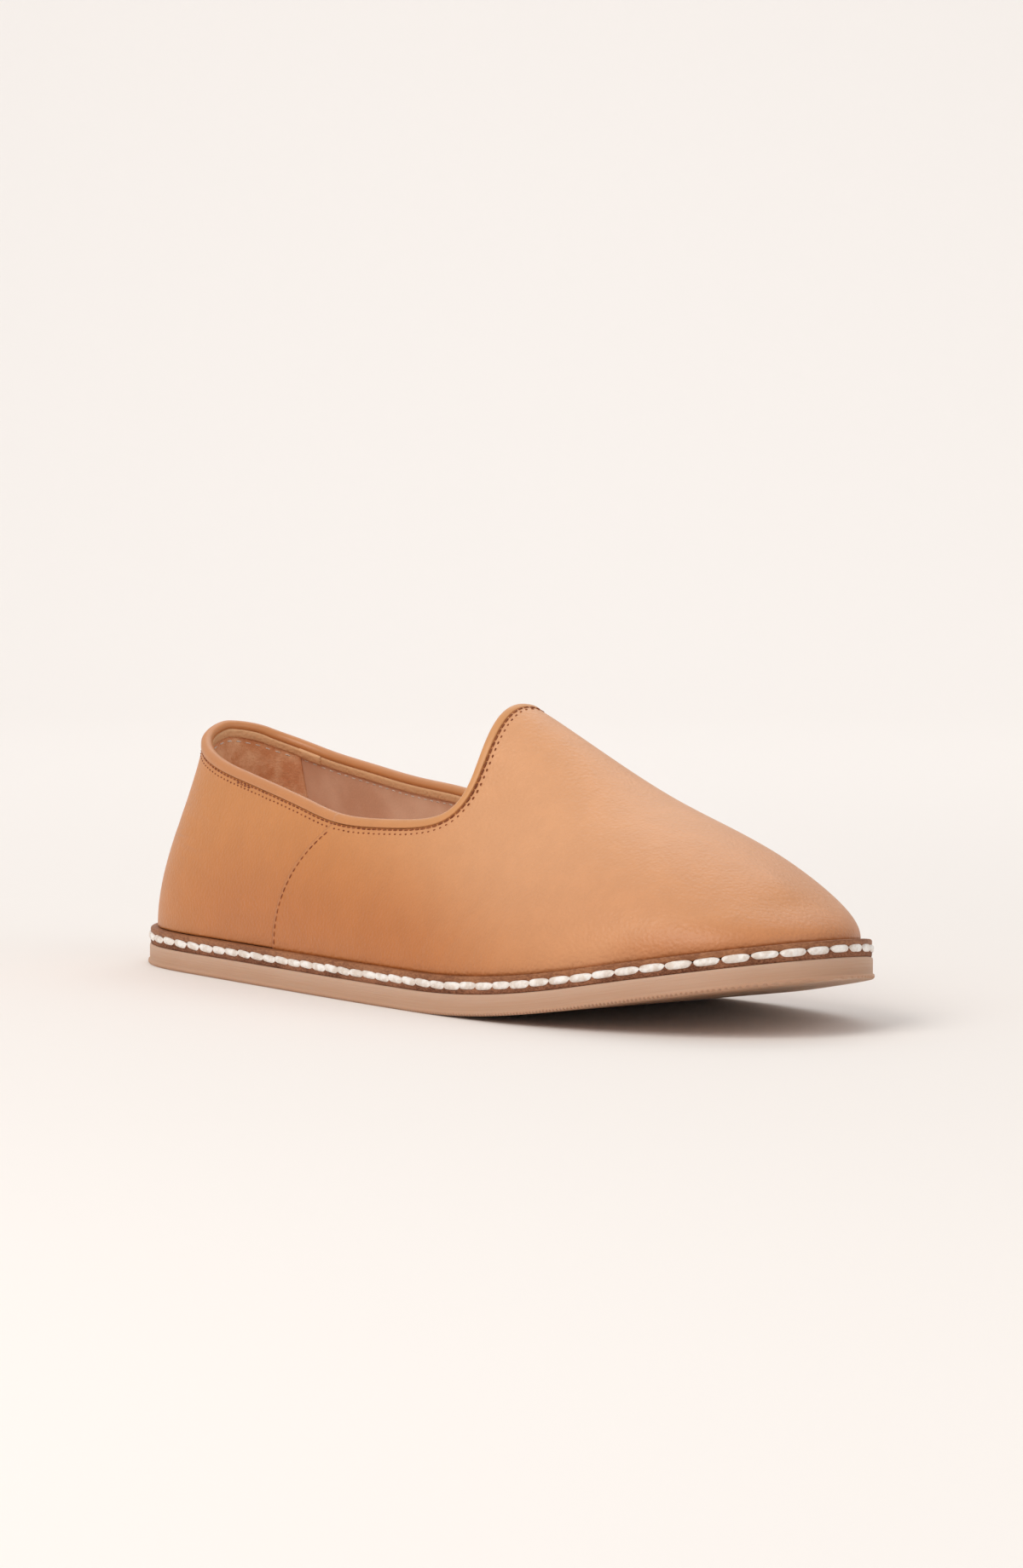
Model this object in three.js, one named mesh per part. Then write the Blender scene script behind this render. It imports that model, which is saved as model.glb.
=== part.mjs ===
// A babouche slipper for the right foot: a smooth leather upper without laces, lasted on to a stitched
// leather edge of two layers over a rubber outsole, with a bound topline and a vamp that rises over the instep.
// Millimetres. X runs from the back of the heel to the toe, Y to the wearer's left (the big toe's side), Z up.
import * as THREE from 'three';

// Driving sizes
const soleLength = 270;
const ballWidth = 88;
const toeSpring = 14.5;
const springSoftness = 31; // half the length over which the flat sole bends into the toe spring
const outsoleThickness = 5.6;
const midsoleThickness = 2.1;
const weltThickness = 1.9;
const insoleThickness = 3;
const wall = 2; // leather and lining of the upper together
const instepHeight = 68.5; // crest over the welt at the instep, where the tongue ends
const crestFromHeel = 26; // the crest starts this far in front of the heel's back
const crestFromToe = 23; // and ends this far behind the toe's tip
const ledgeAtHeel = 2.6; // welt that shows outside the upper
const ledgeAtToe = 4.2;
const sideBelly = 1.3; // belly of the upper's sides, low over the welt, where it is most
const sideTuck = 13; // how far the sides are drawn in above it, where that is most
const lapStep = 0.5; // the vamp's leather lies this proud over the quarter at the side seam
const lapEdge = 0.5; // length over which that step rises
const bindingHeight = 2.6;
const bindingOverhang = 0.5; // the binding stands this far past each face of the wall
const edgeSetback = 0.7; // the leather edge stands back from the rubber's lip
const lipHeight = 0.9; // lip along the rubber's lower corner
const lipDepth = 0.45;
const edgeRound = 0.35; // broken corners of the leather layers
const stitchGroove = 0.7; // depth of the groove between the two leather layers
const seat = 0.3; // clearance between pieces that meet

// Number of steps in the facets
const soleSteps = 36; // along each side of the sole
const collarSteps = 26; // along each side of the topline, heel to instep
const vampSteps = 15; // along the crest, instep to toe
const wallSteps = 10; // up the wall
const bindingSides = 10;

// Outline of the sole: half widths to the outer (little toe) and inner side as shares of ballWidth,
// at shares of soleLength. The toe's tip lies off the middle, towards the big toe.
const tipOffset = 0.04;
const outline = [
  { along: 0.03, outer: 0.250, inner: 0.240 },
  { along: 0.10, outer: 0.380, inner: 0.340 },
  { along: 0.20, outer: 0.420, inner: 0.350 },
  { along: 0.35, outer: 0.455, inner: 0.350 },
  { along: 0.50, outer: 0.485, inner: 0.410 },
  { along: 0.62, outer: 0.500, inner: 0.470 },
  { along: 0.73, outer: 0.490, inner: 0.505 },
  { along: 0.83, outer: 0.435, inner: 0.500 },
  { along: 0.91, outer: 0.350, inner: 0.445 },
  { along: 0.97, outer: 0.215, inner: 0.300 },
];
const springStart = 0.70; // where the line of the toe spring leaves the ground, as a share of soleLength

// Crest of the last, over the middle of the foot: height as a share of instepHeight, and its line on each
// side of the collar's opening as a share of ballWidth towards the inner side. Before the opening both are one.
const crest = [
  { along: 0.12, height: 1.060, outerLine: -0.190, innerLine: -0.030 },
  { along: 0.25, height: 1.090, outerLine: -0.130, innerLine: 0.030 },
  { along: 0.38, height: 1.060, outerLine: -0.080, innerLine: 0.040 },
  { along: 0.54, height: 1.000, outerLine: 0.000, innerLine: 0.010 },
  { along: 0.63, height: 0.840, outerLine: 0.045, innerLine: 0.045 },
  { along: 0.72, height: 0.650, outerLine: 0.075, innerLine: 0.075 },
  { along: 0.81, height: 0.485, outerLine: 0.080, innerLine: 0.080 },
  { along: 0.90, height: 0.290, outerLine: 0.070, innerLine: 0.070 },
];
const crestParting = 0.12; // the two lines part over this much of the turn from the heel

// Fullness of the sections on both sides. An arch with side 2 and shoulder 2 is an ellipse, more is squarer.
// Tuck and belly are shares of sideTuck and sideBelly.
const sections = [
  { along: 0.00, outerSide: 2.3, innerSide: 2.3, outerShoulder: 1.9, innerShoulder: 1.9, tuck: 0.95, belly: 0.2 },
  { along: 0.15, outerSide: 2.3, innerSide: 2.6, outerShoulder: 1.8, innerShoulder: 2.3, tuck: 0.70, belly: 0.6 },
  { along: 0.35, outerSide: 2.3, innerSide: 2.4, outerShoulder: 1.8, innerShoulder: 2.1, tuck: 0.65, belly: 0.9 },
  { along: 0.55, outerSide: 2.1, innerSide: 2.2, outerShoulder: 1.6, innerShoulder: 1.8, tuck: 1.00, belly: 1.0 },
  { along: 0.75, outerSide: 2.0, innerSide: 2.2, outerShoulder: 1.7, innerShoulder: 1.8, tuck: 0.35, belly: 0.9 },
  { along: 1.00, outerSide: 2.1, innerSide: 2.1, outerShoulder: 1.8, innerShoulder: 1.8, tuck: 0.50, belly: 0.2 },
];
const tuckEnd = 0.6; // the wall is drawn in up to here, as a share of the way from welt to crest

// Cut edge of the upper, under its binding, from the back of the heel to the top of the instep. Foot is the
// share along the sole from which the leather rises to the place, and outer and inner give that place on
// each side: along as a share along the last, up as a share of the way from the welt (0) to the crest (1).
const topline = [
  { place: 'heel', foot: 0.000, outer: { along: 0.000, up: 0.560 }, inner: { along: 0.000, up: 0.560 } },
  { place: 'heel corner', foot: 0.015, outer: { along: 0.020, up: 0.530 }, inner: { along: 0.020, up: 0.530 } },
  { place: 'counter', foot: 0.075, outer: { along: 0.090, up: 0.475 }, inner: { along: 0.080, up: 0.455 } },
  { place: 'quarter', foot: 0.150, outer: { along: 0.165, up: 0.430 }, inner: { along: 0.150, up: 0.385 } },
  { place: 'under ankle', foot: 0.225, outer: { along: 0.250, up: 0.395 }, inner: { along: 0.240, up: 0.350 } },
  { place: 'dip', foot: 0.285, outer: { along: 0.325, up: 0.370 }, inner: { along: 0.315, up: 0.350 } },
  { place: 'side seam', foot: 0.330, outer: { along: 0.395, up: 0.350 }, inner: { along: 0.385, up: 0.350 } },
  { place: 'throat', foot: 0.440, outer: { along: 0.470, up: 0.365 }, inner: { along: 0.460, up: 0.325 } },
  { place: 'tongue foot', foot: 0.560, outer: { along: 0.545, up: 0.420 }, inner: { along: 0.535, up: 0.385 } },
  { place: 'tongue side', foot: 0.625, outer: { along: 0.575, up: 0.565 }, inner: { along: 0.560, up: 0.575 } },
  { place: 'tongue shoulder', foot: 0.670, outer: { along: 0.570, up: 0.790 }, inner: { along: 0.555, up: 0.800 } },
  { place: 'tongue top', foot: 0.700, outer: { along: 0.565, up: 1.000 }, inner: { along: 0.565, up: 1.000 } },
];
const seamPlace = 5.9; // the seam's top, counted in rows of the topline
const columnBow = 2.6; // the leather's columns, and the seam with them, rise steeply first and lean forward above

// Levels between the pieces of the bottom
const midsoleLevel = outsoleThickness + seat;
const weltLevel = midsoleLevel + midsoleThickness + seat;
const featherLevel = weltLevel + weltThickness + seat;

// A natural cubic through the points (xs, ys), as a function of x; a flat end has slope 0.
function smooth(xs, ys, flatStart = false, flatEnd = false) {
  const n = xs.length;
  const gap = xs.slice(1).map((x, i) => x - xs[i]);
  const rise = ys.slice(1).map((y, i) => (y - ys[i]) / gap[i]);
  const below = new Array(n).fill(0);
  const middle = new Array(n).fill(1);
  const above = new Array(n).fill(0);
  const load = new Array(n).fill(0);
  for (let i = 1; i < n - 1; i++) {
    below[i] = gap[i - 1];
    middle[i] = 2 * (gap[i - 1] + gap[i]);
    above[i] = gap[i];
    load[i] = 6 * (rise[i] - rise[i - 1]);
  }
  if (flatStart) {
    middle[0] = 2 * gap[0];
    above[0] = gap[0];
    load[0] = 6 * rise[0];
  }
  if (flatEnd) {
    middle[n - 1] = 2 * gap[n - 2];
    below[n - 1] = gap[n - 2];
    load[n - 1] = -6 * rise[n - 2];
  }
  for (let i = 1; i < n; i++) {
    const share = below[i] / middle[i - 1];
    middle[i] -= share * above[i - 1];
    load[i] -= share * load[i - 1];
  }
  const bend = new Array(n).fill(0);
  bend[n - 1] = load[n - 1] / middle[n - 1];
  for (let i = n - 2; i >= 0; i--) bend[i] = (load[i] - above[i] * bend[i + 1]) / middle[i];
  return (x) => {
    let i = 0;
    while (i < n - 2 && x > xs[i + 1]) i++;
    const h = gap[i];
    const a = (xs[i + 1] - x) / h;
    const b = (x - xs[i]) / h;
    return a * ys[i] + b * ys[i + 1] + ((a ** 3 - a) * bend[i] + (b ** 3 - b) * bend[i + 1]) * h * h / 6;
  };
}

const column = (table, name) => table.map((row) => row[name]);

// Turn 0 to 1 runs from the heel to the toe by the angle of a half circle, so that both round ends are even.
const turnAt = (share) => Math.acos(1 - 2 * share) / Math.PI;
const shareAt = (turn) => (1 - Math.cos(Math.PI * turn)) / 2;

// The outline's Y once round: heel at 0, toe at 1 by the outer side, heel again at 2 by the inner side.
const outlineY = (() => {
  const turns = column(outline, 'along').map(turnAt);
  const outer = column(outline, 'outer').map((share) => -share * ballWidth);
  const inner = column(outline, 'inner').map((share) => share * ballWidth);
  const round = [0, ...turns, 1, ...turns.map((turn) => 2 - turn).reverse()];
  const across = [0, ...outer, tipOffset * ballWidth, ...inner.reverse()];
  const wrap = 6;
  const xs = [...round.slice(-wrap).map((x) => x - 2), ...round, ...round.slice(0, wrap).map((x) => x + 2)];
  const ys = [...across.slice(-wrap), ...across, ...across.slice(0, wrap)];
  return smooth(xs, ys);
})();

// A point of the outline and the plan direction that points out of the sole there.
function outlineAt(round) {
  const at = (r) => new THREE.Vector2(soleLength * shareAt(r <= 1 ? r : 2 - r), outlineY(r));
  const step = 1e-4;
  const ahead = at((round + step) % 2);
  const behind = at((round - step + 2) % 2);
  const out = new THREE.Vector2(ahead.y - behind.y, behind.x - ahead.x).normalize();
  return { point: at(round), out };
}

// Rise of the sole at x: flat under heel and ball, a soft bend, then a straight slope to the toe's tip.
function spring(x) {
  const start = springStart * soleLength;
  const past = x - start;
  const slope = toeSpring / (soleLength - start);
  if (past < -springSoftness) return 0;
  if (past > springSoftness) return slope * past;
  return slope * (past + springSoftness) ** 2 / (4 * springSoftness);
}

const crestHeightAt = smooth(column(crest, 'along'), column(crest, 'height'));
const crestLineAt = {
  outer: smooth(column(crest, 'along'), column(crest, 'outerLine')),
  inner: smooth(column(crest, 'along'), column(crest, 'innerLine')),
};
const sectionTurns = column(sections, 'along').map(turnAt);
const sectionAt = Object.fromEntries(
  ['outerSide', 'innerSide', 'outerShoulder', 'innerShoulder', 'tuck', 'belly'].map(
    (name) => [name, smooth(sectionTurns, column(sections, name), true, true)],
  ),
);

// The crest at a turn: its point on one side of the opening, and its slope along X.
function crestAt(side, turn) {
  const x = crestFromHeel + (soleLength - crestFromToe - crestFromHeel) * shareAt(turn);
  const share = x / soleLength;
  const parted = THREE.MathUtils.smoothstep(turn, 0, crestParting);
  const middle = (crestLineAt.outer(share) + crestLineAt.inner(share)) / 2;
  const y = (middle + (crestLineAt[side](share) - middle) * parted) * ballWidth;
  const heightAt = (at) => featherLevel + spring(at) + crestHeightAt(at / soleLength) * instepHeight;
  return { point: new THREE.Vector3(x, y, heightAt(x)), slope: (heightAt(x + 1) - heightAt(x - 1)) / 2 };
}

// Outer face of the upper. Side is 'outer' or 'inner', turn runs from heel 0 to toe 1, up from welt 0 to crest 1.
// Each section is a superellipse quarter from the foot point on the welt to its point on the crest, let out at
// the belly and drawn in above it, and it arrives along the crest's own slope.
function lastPoint(side, turn, up) {
  const { point, out } = outlineAt(side === 'outer' ? turn : 2 - turn);
  const ledge = ledgeAtHeel + (ledgeAtToe - ledgeAtHeel) * shareAt(turn);
  const foot = point.clone().addScaledVector(out, -ledge);
  const footZ = featherLevel + spring(foot.x);
  const { point: top, slope } = crestAt(side, turn);
  const angle = up * Math.PI / 2;
  const cosine = Math.max(Math.cos(angle), 0);
  const inward = 1 - cosine ** (2 / sectionAt[side + 'Side'](turn));
  const upward = Math.sin(angle) ** (2 / sectionAt[side + 'Shoulder'](turn));
  const drawn = (1 - Math.cos(Math.PI * Math.min(up / tuckEnd, 1))) / 2;
  const belly = sideBelly * sectionAt.belly(turn) * Math.sin(2 * angle) * cosine;
  const tuck = sideTuck * sectionAt.tuck(turn) * drawn * (1 - inward);
  const plan = foot.clone().lerp(new THREE.Vector2(top.x, top.y), inward).addScaledVector(out, belly - tuck);
  const fall = slope * (top.x - plan.x) * upward * Math.sin(angle);
  return new THREE.Vector3(plan.x, plan.y, footZ + (top.z - footZ) * upward - fall);
}

// One closed body from a grid of points that closes on itself both ways.
function ringBody(rings) {
  const sides = rings[0].length;
  const points = rings.flat();
  const faces = [];
  rings.forEach((ring, i) => {
    const next = (i + 1) % rings.length;
    for (let k = 0; k < sides; k++) {
      const l = (k + 1) % sides;
      faces.push(i * sides + k, next * sides + k, next * sides + l, i * sides + k, next * sides + l, i * sides + l);
    }
  });
  return body(points, faces);
}

// A geometry from points and triangles, turned so that its faces point out.
function body(points, faces) {
  let volume = 0;
  for (let i = 0; i < faces.length; i += 3) {
    const [a, b, c] = [0, 1, 2].map((k) => points[faces[i + k]]);
    volume += a.dot(b.clone().cross(c));
  }
  const turned = volume < 0 ? faces.slice().reverse() : faces;
  const geometry = new THREE.BufferGeometry();
  geometry.setAttribute('position', new THREE.Float32BufferAttribute(points.flatMap((p) => p.toArray()), 3));
  geometry.setIndex(turned);
  geometry.computeVertexNormals();
  return geometry;
}

// A layer of the sole: rows of { inset, level } from its lower face to its upper one, each carried round a
// ring of places, and both faces closed by strips across the foot. Ring i and its mirror share one X.
function layer(places, rows) {
  const n = places.length;
  const points = rows.flatMap(({ inset, level }) => places.map((place) => {
    const plan = place.point.clone().addScaledVector(place.out, -inset);
    return new THREE.Vector3(plan.x, plan.y, level + spring(plan.x));
  }));
  const faces = [];
  for (let row = 0; row < rows.length - 1; row++) {
    for (let i = 0; i < n; i++) {
      const j = (i + 1) % n;
      const [a, b, c, d] = [row * n + i, row * n + j, (row + 1) * n + j, (row + 1) * n + i];
      faces.push(a, b, c, a, c, d);
    }
  }
  const last = (rows.length - 1) * n;
  for (let i = 0; i < n / 2; i++) {
    const [a, b, c, d] = [i, i + 1, (n - i - 1) % n, (n - i) % n];
    const corners = i === 0 ? [[a, b, c]] : i === n / 2 - 1 ? [[a, b, d]] : [[a, b, c], [a, c, d]];
    for (const [p, q, r] of corners) faces.push(p, r, q, last + p, last + q, last + r);
  }
  return body(points, faces);
}

const soleRing = Array.from({ length: 2 * soleSteps }, (_, i) => outlineAt(i / soleSteps));

function outsoleGeometry() {
  return layer(soleRing, [
    { inset: edgeRound, level: 0 },
    { inset: 0, level: edgeRound },
    { inset: 0, level: lipHeight },
    { inset: lipDepth, level: lipHeight + lipDepth },
    { inset: lipDepth, level: outsoleThickness - edgeRound },
    { inset: lipDepth + edgeRound, level: outsoleThickness },
  ]);
}

// The two leather layers are broken at their outer corners and hollowed towards each other for the stitches.
function midsoleGeometry() {
  const top = midsoleLevel + midsoleThickness;
  return layer(soleRing, [
    { inset: edgeSetback + edgeRound, level: midsoleLevel },
    { inset: edgeSetback, level: midsoleLevel + edgeRound },
    { inset: edgeSetback, level: top - stitchGroove },
    { inset: edgeSetback + stitchGroove, level: top },
  ]);
}

function weltGeometry() {
  const top = weltLevel + weltThickness;
  return layer(soleRing, [
    { inset: edgeSetback + stitchGroove, level: weltLevel },
    { inset: edgeSetback, level: weltLevel + stitchGroove },
    { inset: edgeSetback, level: top - edgeRound },
    { inset: edgeSetback + edgeRound, level: top },
  ]);
}

// The topline of one side as a function of its row number, and evenly spread row numbers along it.
function toplineOf(side) {
  const rows = topline.map((_, i) => i);
  const turn = smooth(rows, topline.map((row) => turnAt(row[side].along)), false, true);
  const up = smooth(rows, topline.map((row) => row[side].up), true, false);
  return (row) => ({ turn: turn(row), up: Math.min(up(row), 1) });
}
const toplines = { outer: toplineOf('outer'), inner: toplineOf('inner') };
const footTurn = smooth(topline.map((_, i) => i), topline.map((row) => turnAt(row.foot)));

const columnRows = (() => {
  const lastRow = topline.length - 1;
  const fine = Array.from({ length: 40 * lastRow + 1 }, (_, i) => i / 40);
  const points = fine.map((row) => {
    const { turn, up } = toplines.outer(row);
    return lastPoint('outer', turn, up);
  });
  const length = [0];
  for (let i = 1; i < points.length; i++) length.push(length[i - 1] + points[i].distanceTo(points[i - 1]));
  const even = Array.from({ length: collarSteps + 1 }, (_, k) => {
    const target = length.at(-1) * k / collarSteps;
    const i = Math.max(1, length.findIndex((value) => value >= target - 1e-9));
    const part = (target - length[i - 1]) / (length[i] - length[i - 1]);
    return fine[i - 1] + part * (fine[i] - fine[i - 1]);
  });
  const seam = even.reduce((best, row) => (Math.abs(row - seamPlace) < Math.abs(best - seamPlace) ? row : best));
  return even.map((row) => (row === seam ? seamPlace : row));
})();

// Columns of the upper from heel to toe: where each starts on the welt, where it ends, and whether it lies
// before the side seam, on its edge or behind it. The seam has a second column just in front of it.
const columns = (() => {
  const list = [];
  for (const row of columnRows) {
    const ends = { outer: toplines.outer(row), inner: toplines.inner(row) };
    list.push({ foot: footTurn(row), ends, lapped: row > seamPlace });
    if (row === seamPlace) {
      const step = lapEdge / soleLength;
      const shift = (end) => ({ turn: end.turn + step, up: end.up });
      list.push({ foot: list.at(-1).foot + step, ends: { outer: shift(ends.outer), inner: shift(ends.inner) }, lapped: true });
    }
  }
  const start = list.at(-1);
  for (let k = 1; k <= vampSteps; k++) {
    const part = k / vampSteps;
    const end = { turn: start.ends.outer.turn + (1 - start.ends.outer.turn) * part, up: 1 };
    list.push({ foot: start.foot + (1 - start.foot) * part, ends: { outer: end, inner: end }, lapped: true });
  }
  return list;
})();
const openColumns = columns.length - vampSteps; // columns that end at the open topline, the last one on the crest

// The shell's outer grid. Both sides share the heel's column, the toe's column and the crest.
const shell = (() => {
  const points = [];
  const index = { outer: [], inner: [] };
  for (const side of ['outer', 'inner']) {
    columns.forEach(({ foot, ends }, i) => {
      const end = ends[side];
      const atEnd = i === 0 || i === columns.length - 1;
      index[side].push(Array.from({ length: wallSteps + 1 }, (_, j) => {
        const onCrest = j === wallSteps && i >= openColumns - 1;
        if (side === 'inner' && (atEnd || onCrest)) return index.outer[i][j];
        const part = j / wallSteps;
        points.push(lastPoint(side, foot + (end.turn - foot) * part ** columnBow, end.up * part));
        return points.length - 1;
      }));
    });
  }
  const faces = [];
  for (const side of ['outer', 'inner']) {
    for (let i = 0; i < columns.length - 1; i++) {
      for (let j = 0; j < wallSteps; j++) {
        const [a, b] = [index[side][i][j], index[side][i + 1][j]];
        const [c, d] = [index[side][i + 1][j + 1], index[side][i][j + 1]];
        faces.push(...(side === 'outer' ? [a, b, c, a, c, d] : [a, c, b, a, d, c]));
      }
    }
  }
  return { points, index, faces };
})();

// Outer and inner face of the wall: the inner one lies a wall's thickness in, the outer one
// a lap's step out where the vamp covers the quarter. Along the welt both faces end on one level.
const wallFaces = (() => {
  const geometry = new THREE.BufferGeometry();
  geometry.setAttribute('position', new THREE.Float32BufferAttribute(shell.points.flatMap((p) => p.toArray()), 3));
  geometry.setIndex(shell.faces);
  geometry.computeVertexNormals();
  const normals = geometry.getAttribute('normal');
  const feather = new Set();
  const lapped = new Set();
  for (const side of ['outer', 'inner']) {
    columns.forEach((entry, i) => {
      feather.add(shell.index[side][i][0]);
      if (entry.lapped) shell.index[side][i].forEach((vertex) => lapped.add(vertex));
    });
  }
  const move = (vertex, depth) => {
    const normal = new THREE.Vector3().fromBufferAttribute(normals, vertex);
    if (feather.has(vertex)) normal.setZ(0).normalize();
    const point = shell.points[vertex].clone().addScaledVector(normal, depth);
    if (feather.has(vertex)) point.z = featherLevel + spring(point.x);
    return point;
  };
  return {
    out: shell.points.map((_, vertex) => move(vertex, lapped.has(vertex) ? lapStep : 0)),
    inside: shell.points.map((_, vertex) => move(vertex, -wall)),
  };
})();

// The open topline as one ring of shell vertices: up the outer side, over the instep, back along the inner side.
const openRing = [
  ...shell.index.outer.slice(0, openColumns).map((line) => line[wallSteps]),
  ...shell.index.inner.slice(1, openColumns - 1).map((line) => line[wallSteps]).reverse(),
];
const openRingBelow = [
  ...shell.index.outer.slice(0, openColumns - 1).map((line) => line[wallSteps - 1]),
  shell.index.outer[openColumns][wallSteps],
  ...shell.index.inner.slice(1, openColumns - 1).map((line) => line[wallSteps - 1]).reverse(),
];
const featherRing = [
  ...shell.index.outer.map((line) => line[0]),
  ...shell.index.inner.slice(1, -1).map((line) => line[0]).reverse(),
];

// One hollow body: both faces of the wall, joined by a rim round the topline and one round the welt.
function upperGeometry() {
  const count = shell.points.length;
  const faces = [...shell.faces];
  for (let i = 0; i < shell.faces.length; i += 3) {
    const [a, b, c] = shell.faces.slice(i, i + 3);
    faces.push(a + count, c + count, b + count);
  }
  const rim = (ring, flip) => ring.forEach((a, i) => {
    const b = ring[(i + 1) % ring.length];
    const [p, q] = flip ? [b, a] : [a, b];
    faces.push(p, q, q + count, p, q + count, p + count);
  });
  rim(openRing, false);
  rim(featherRing, true);
  return body([...wallFaces.out, ...wallFaces.inside], faces);
}

// A rounded bead all along the topline, standing on the wall's cut edge.
function bindingGeometry() {
  const middles = openRing.map((v) => wallFaces.out[v].clone().lerp(wallFaces.inside[v], 0.5));
  const rings = openRing.map((v, i) => {
    const n = openRing.length;
    const along = middles[(i + 1) % n].clone().sub(middles[(i - 1 + n) % n]).normalize();
    const across = wallFaces.out[v].clone().sub(wallFaces.inside[v]);
    const half = across.length() / 2 + bindingOverhang;
    across.addScaledVector(along, -across.dot(along)).normalize();
    const up = new THREE.Vector3().crossVectors(along, across).normalize();
    const below = wallFaces.out[openRingBelow[i]].clone().lerp(wallFaces.inside[openRingBelow[i]], 0.5);
    if (up.dot(middles[i].clone().sub(below)) < 0) up.negate();
    return Array.from({ length: bindingSides }, (_, k) => {
      const angle = 2 * Math.PI * (k + 0.5) / bindingSides;
      const square = (value) => Math.sign(value) * Math.abs(value) ** 0.8;
      const height = seat + bindingHeight / 2 * (1 + square(Math.sin(angle)));
      return middles[i].clone().addScaledVector(across, half * square(Math.cos(angle))).addScaledVector(up, height);
    });
  });
  return ringBody(rings);
}

// The insole lies inside the wall: just over its upper face the wall already leans in.
function insoleGeometry() {
  const insideAt = (line, height) => {
    const points = line.map((vertex) => wallFaces.inside[vertex]);
    const level = (p) => p.z - featherLevel - spring(p.x);
    const j = Math.max(1, points.findIndex((p) => level(p) >= height));
    const part = (height - level(points[j - 1])) / (level(points[j]) - level(points[j - 1]));
    return points[j - 1].clone().lerp(points[j], part);
  };
  const lines = [...shell.index.outer, ...shell.index.inner.slice(1, -1).reverse()];
  const atTop = lines.map((line) => insideAt(line, insoleThickness + seat));
  const places = atTop.map((p, i) => {
    const n = atTop.length;
    const [a, b] = [atTop[(i + 1) % n], atTop[(i - 1 + n) % n]];
    return { point: new THREE.Vector2(p.x, p.y), out: new THREE.Vector2(a.y - b.y, b.x - a.x).normalize() };
  });
  return layer(places, [
    { inset: seat, level: featherLevel },
    { inset: seat, level: featherLevel + insoleThickness },
  ]);
}

const finishes = {
  rubber: { color: '#b98a66', roughness: 0.55, metalness: 0 },
  edgeLeather: { color: '#8a5230', roughness: 0.7, metalness: 0 },
  upperLeather: { color: '#c98a52', roughness: 0.45, metalness: 0 },
  bindingLeather: { color: '#b97843', roughness: 0.5, metalness: 0 },
  liningLeather: { color: '#a98c76', roughness: 0.7, metalness: 0 },
};

function piece(name, geometry, finish) {
  const mesh = new THREE.Mesh(geometry, new THREE.MeshStandardMaterial(finishes[finish]));
  mesh.name = name;
  return mesh;
}

const slipper = new THREE.Group();
slipper.add(
  piece('outsole', outsoleGeometry(), 'rubber'),
  piece('midsole', midsoleGeometry(), 'edgeLeather'),
  piece('welt', weltGeometry(), 'edgeLeather'),
  piece('insole', insoleGeometry(), 'liningLeather'),
  piece('upper', upperGeometry(), 'upperLeather'),
  piece('collar_binding', bindingGeometry(), 'bindingLeather'),
);

// The origin is on the ground under the middle of the slipper's length and width.
const box = new THREE.Box3().setFromObject(slipper);
slipper.position.set(-(box.min.x + box.max.x) / 2, -(box.min.y + box.max.y) / 2, -box.min.z);

export default slipper;
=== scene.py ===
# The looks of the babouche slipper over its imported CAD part: leather panels with their lap and seams, the
# rolled binding, linings, the stitched leather edge and the ribbed rubber sole.
# Shapes are worked out in millimetres, X from the heel's back to the toe, Y to the big toe's side, Z up, and
# moved into the CAD frame in metres as they become meshes.
import math

import bpy
import numpy as np
from mathutils import Matrix


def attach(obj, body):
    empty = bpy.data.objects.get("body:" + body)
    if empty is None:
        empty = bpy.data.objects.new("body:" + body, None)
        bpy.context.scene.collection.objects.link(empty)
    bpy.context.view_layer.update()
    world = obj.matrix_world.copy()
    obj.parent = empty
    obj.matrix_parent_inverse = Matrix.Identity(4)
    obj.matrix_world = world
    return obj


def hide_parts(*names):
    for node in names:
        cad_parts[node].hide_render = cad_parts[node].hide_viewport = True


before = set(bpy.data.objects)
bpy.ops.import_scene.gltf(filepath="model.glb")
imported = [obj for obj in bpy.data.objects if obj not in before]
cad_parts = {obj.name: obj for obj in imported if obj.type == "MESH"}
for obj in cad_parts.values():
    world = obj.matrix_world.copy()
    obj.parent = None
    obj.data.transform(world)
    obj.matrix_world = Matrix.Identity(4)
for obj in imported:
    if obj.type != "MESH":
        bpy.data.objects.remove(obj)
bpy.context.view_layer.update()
print("frame loaded")

# The slipper's own sizes, as in the CAD part
slipper = {
    "length": 270.0, "ball": 88.0, "toeSpring": 14.5, "springSoftness": 31.0, "springStart": 0.70,
    "instep": 68.5, "crestFromHeel": 26.0, "crestFromToe": 23.0, "crestParting": 0.12,
    "ledgeAtHeel": 2.6, "ledgeAtToe": 4.2, "belly": 1.3, "tuck": 13.0, "tuckEnd": 0.6,
    "wall": 2.0, "lapStep": 0.5, "seamRow": 5.9, "columnBow": 2.6, "tipOffset": 0.04,
    "outsole": (0.0, 5.6), "midsole": (5.9, 8.0), "welt": (8.3, 10.2), "feather": 10.5,
}
# half widths of the sole as shares of the ball width, at shares of the length
outline = np.array([  # along, outer, inner
    (0.03, 0.250, 0.240), (0.10, 0.380, 0.340), (0.20, 0.420, 0.350), (0.35, 0.455, 0.350),
    (0.50, 0.485, 0.410), (0.62, 0.500, 0.470), (0.73, 0.490, 0.505), (0.83, 0.435, 0.500),
    (0.91, 0.350, 0.445), (0.97, 0.215, 0.300)])
# crest of the last: height as a share of the instep, and its line on each side as shares of the ball width
crest = np.array([  # along, height, outer line, inner line
    (0.12, 1.060, -0.190, -0.030), (0.25, 1.090, -0.130, 0.030), (0.38, 1.060, -0.080, 0.040),
    (0.54, 1.000, 0.000, 0.010), (0.63, 0.840, 0.045, 0.045), (0.72, 0.650, 0.075, 0.075),
    (0.81, 0.485, 0.080, 0.080), (0.90, 0.290, 0.070, 0.070)])
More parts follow.
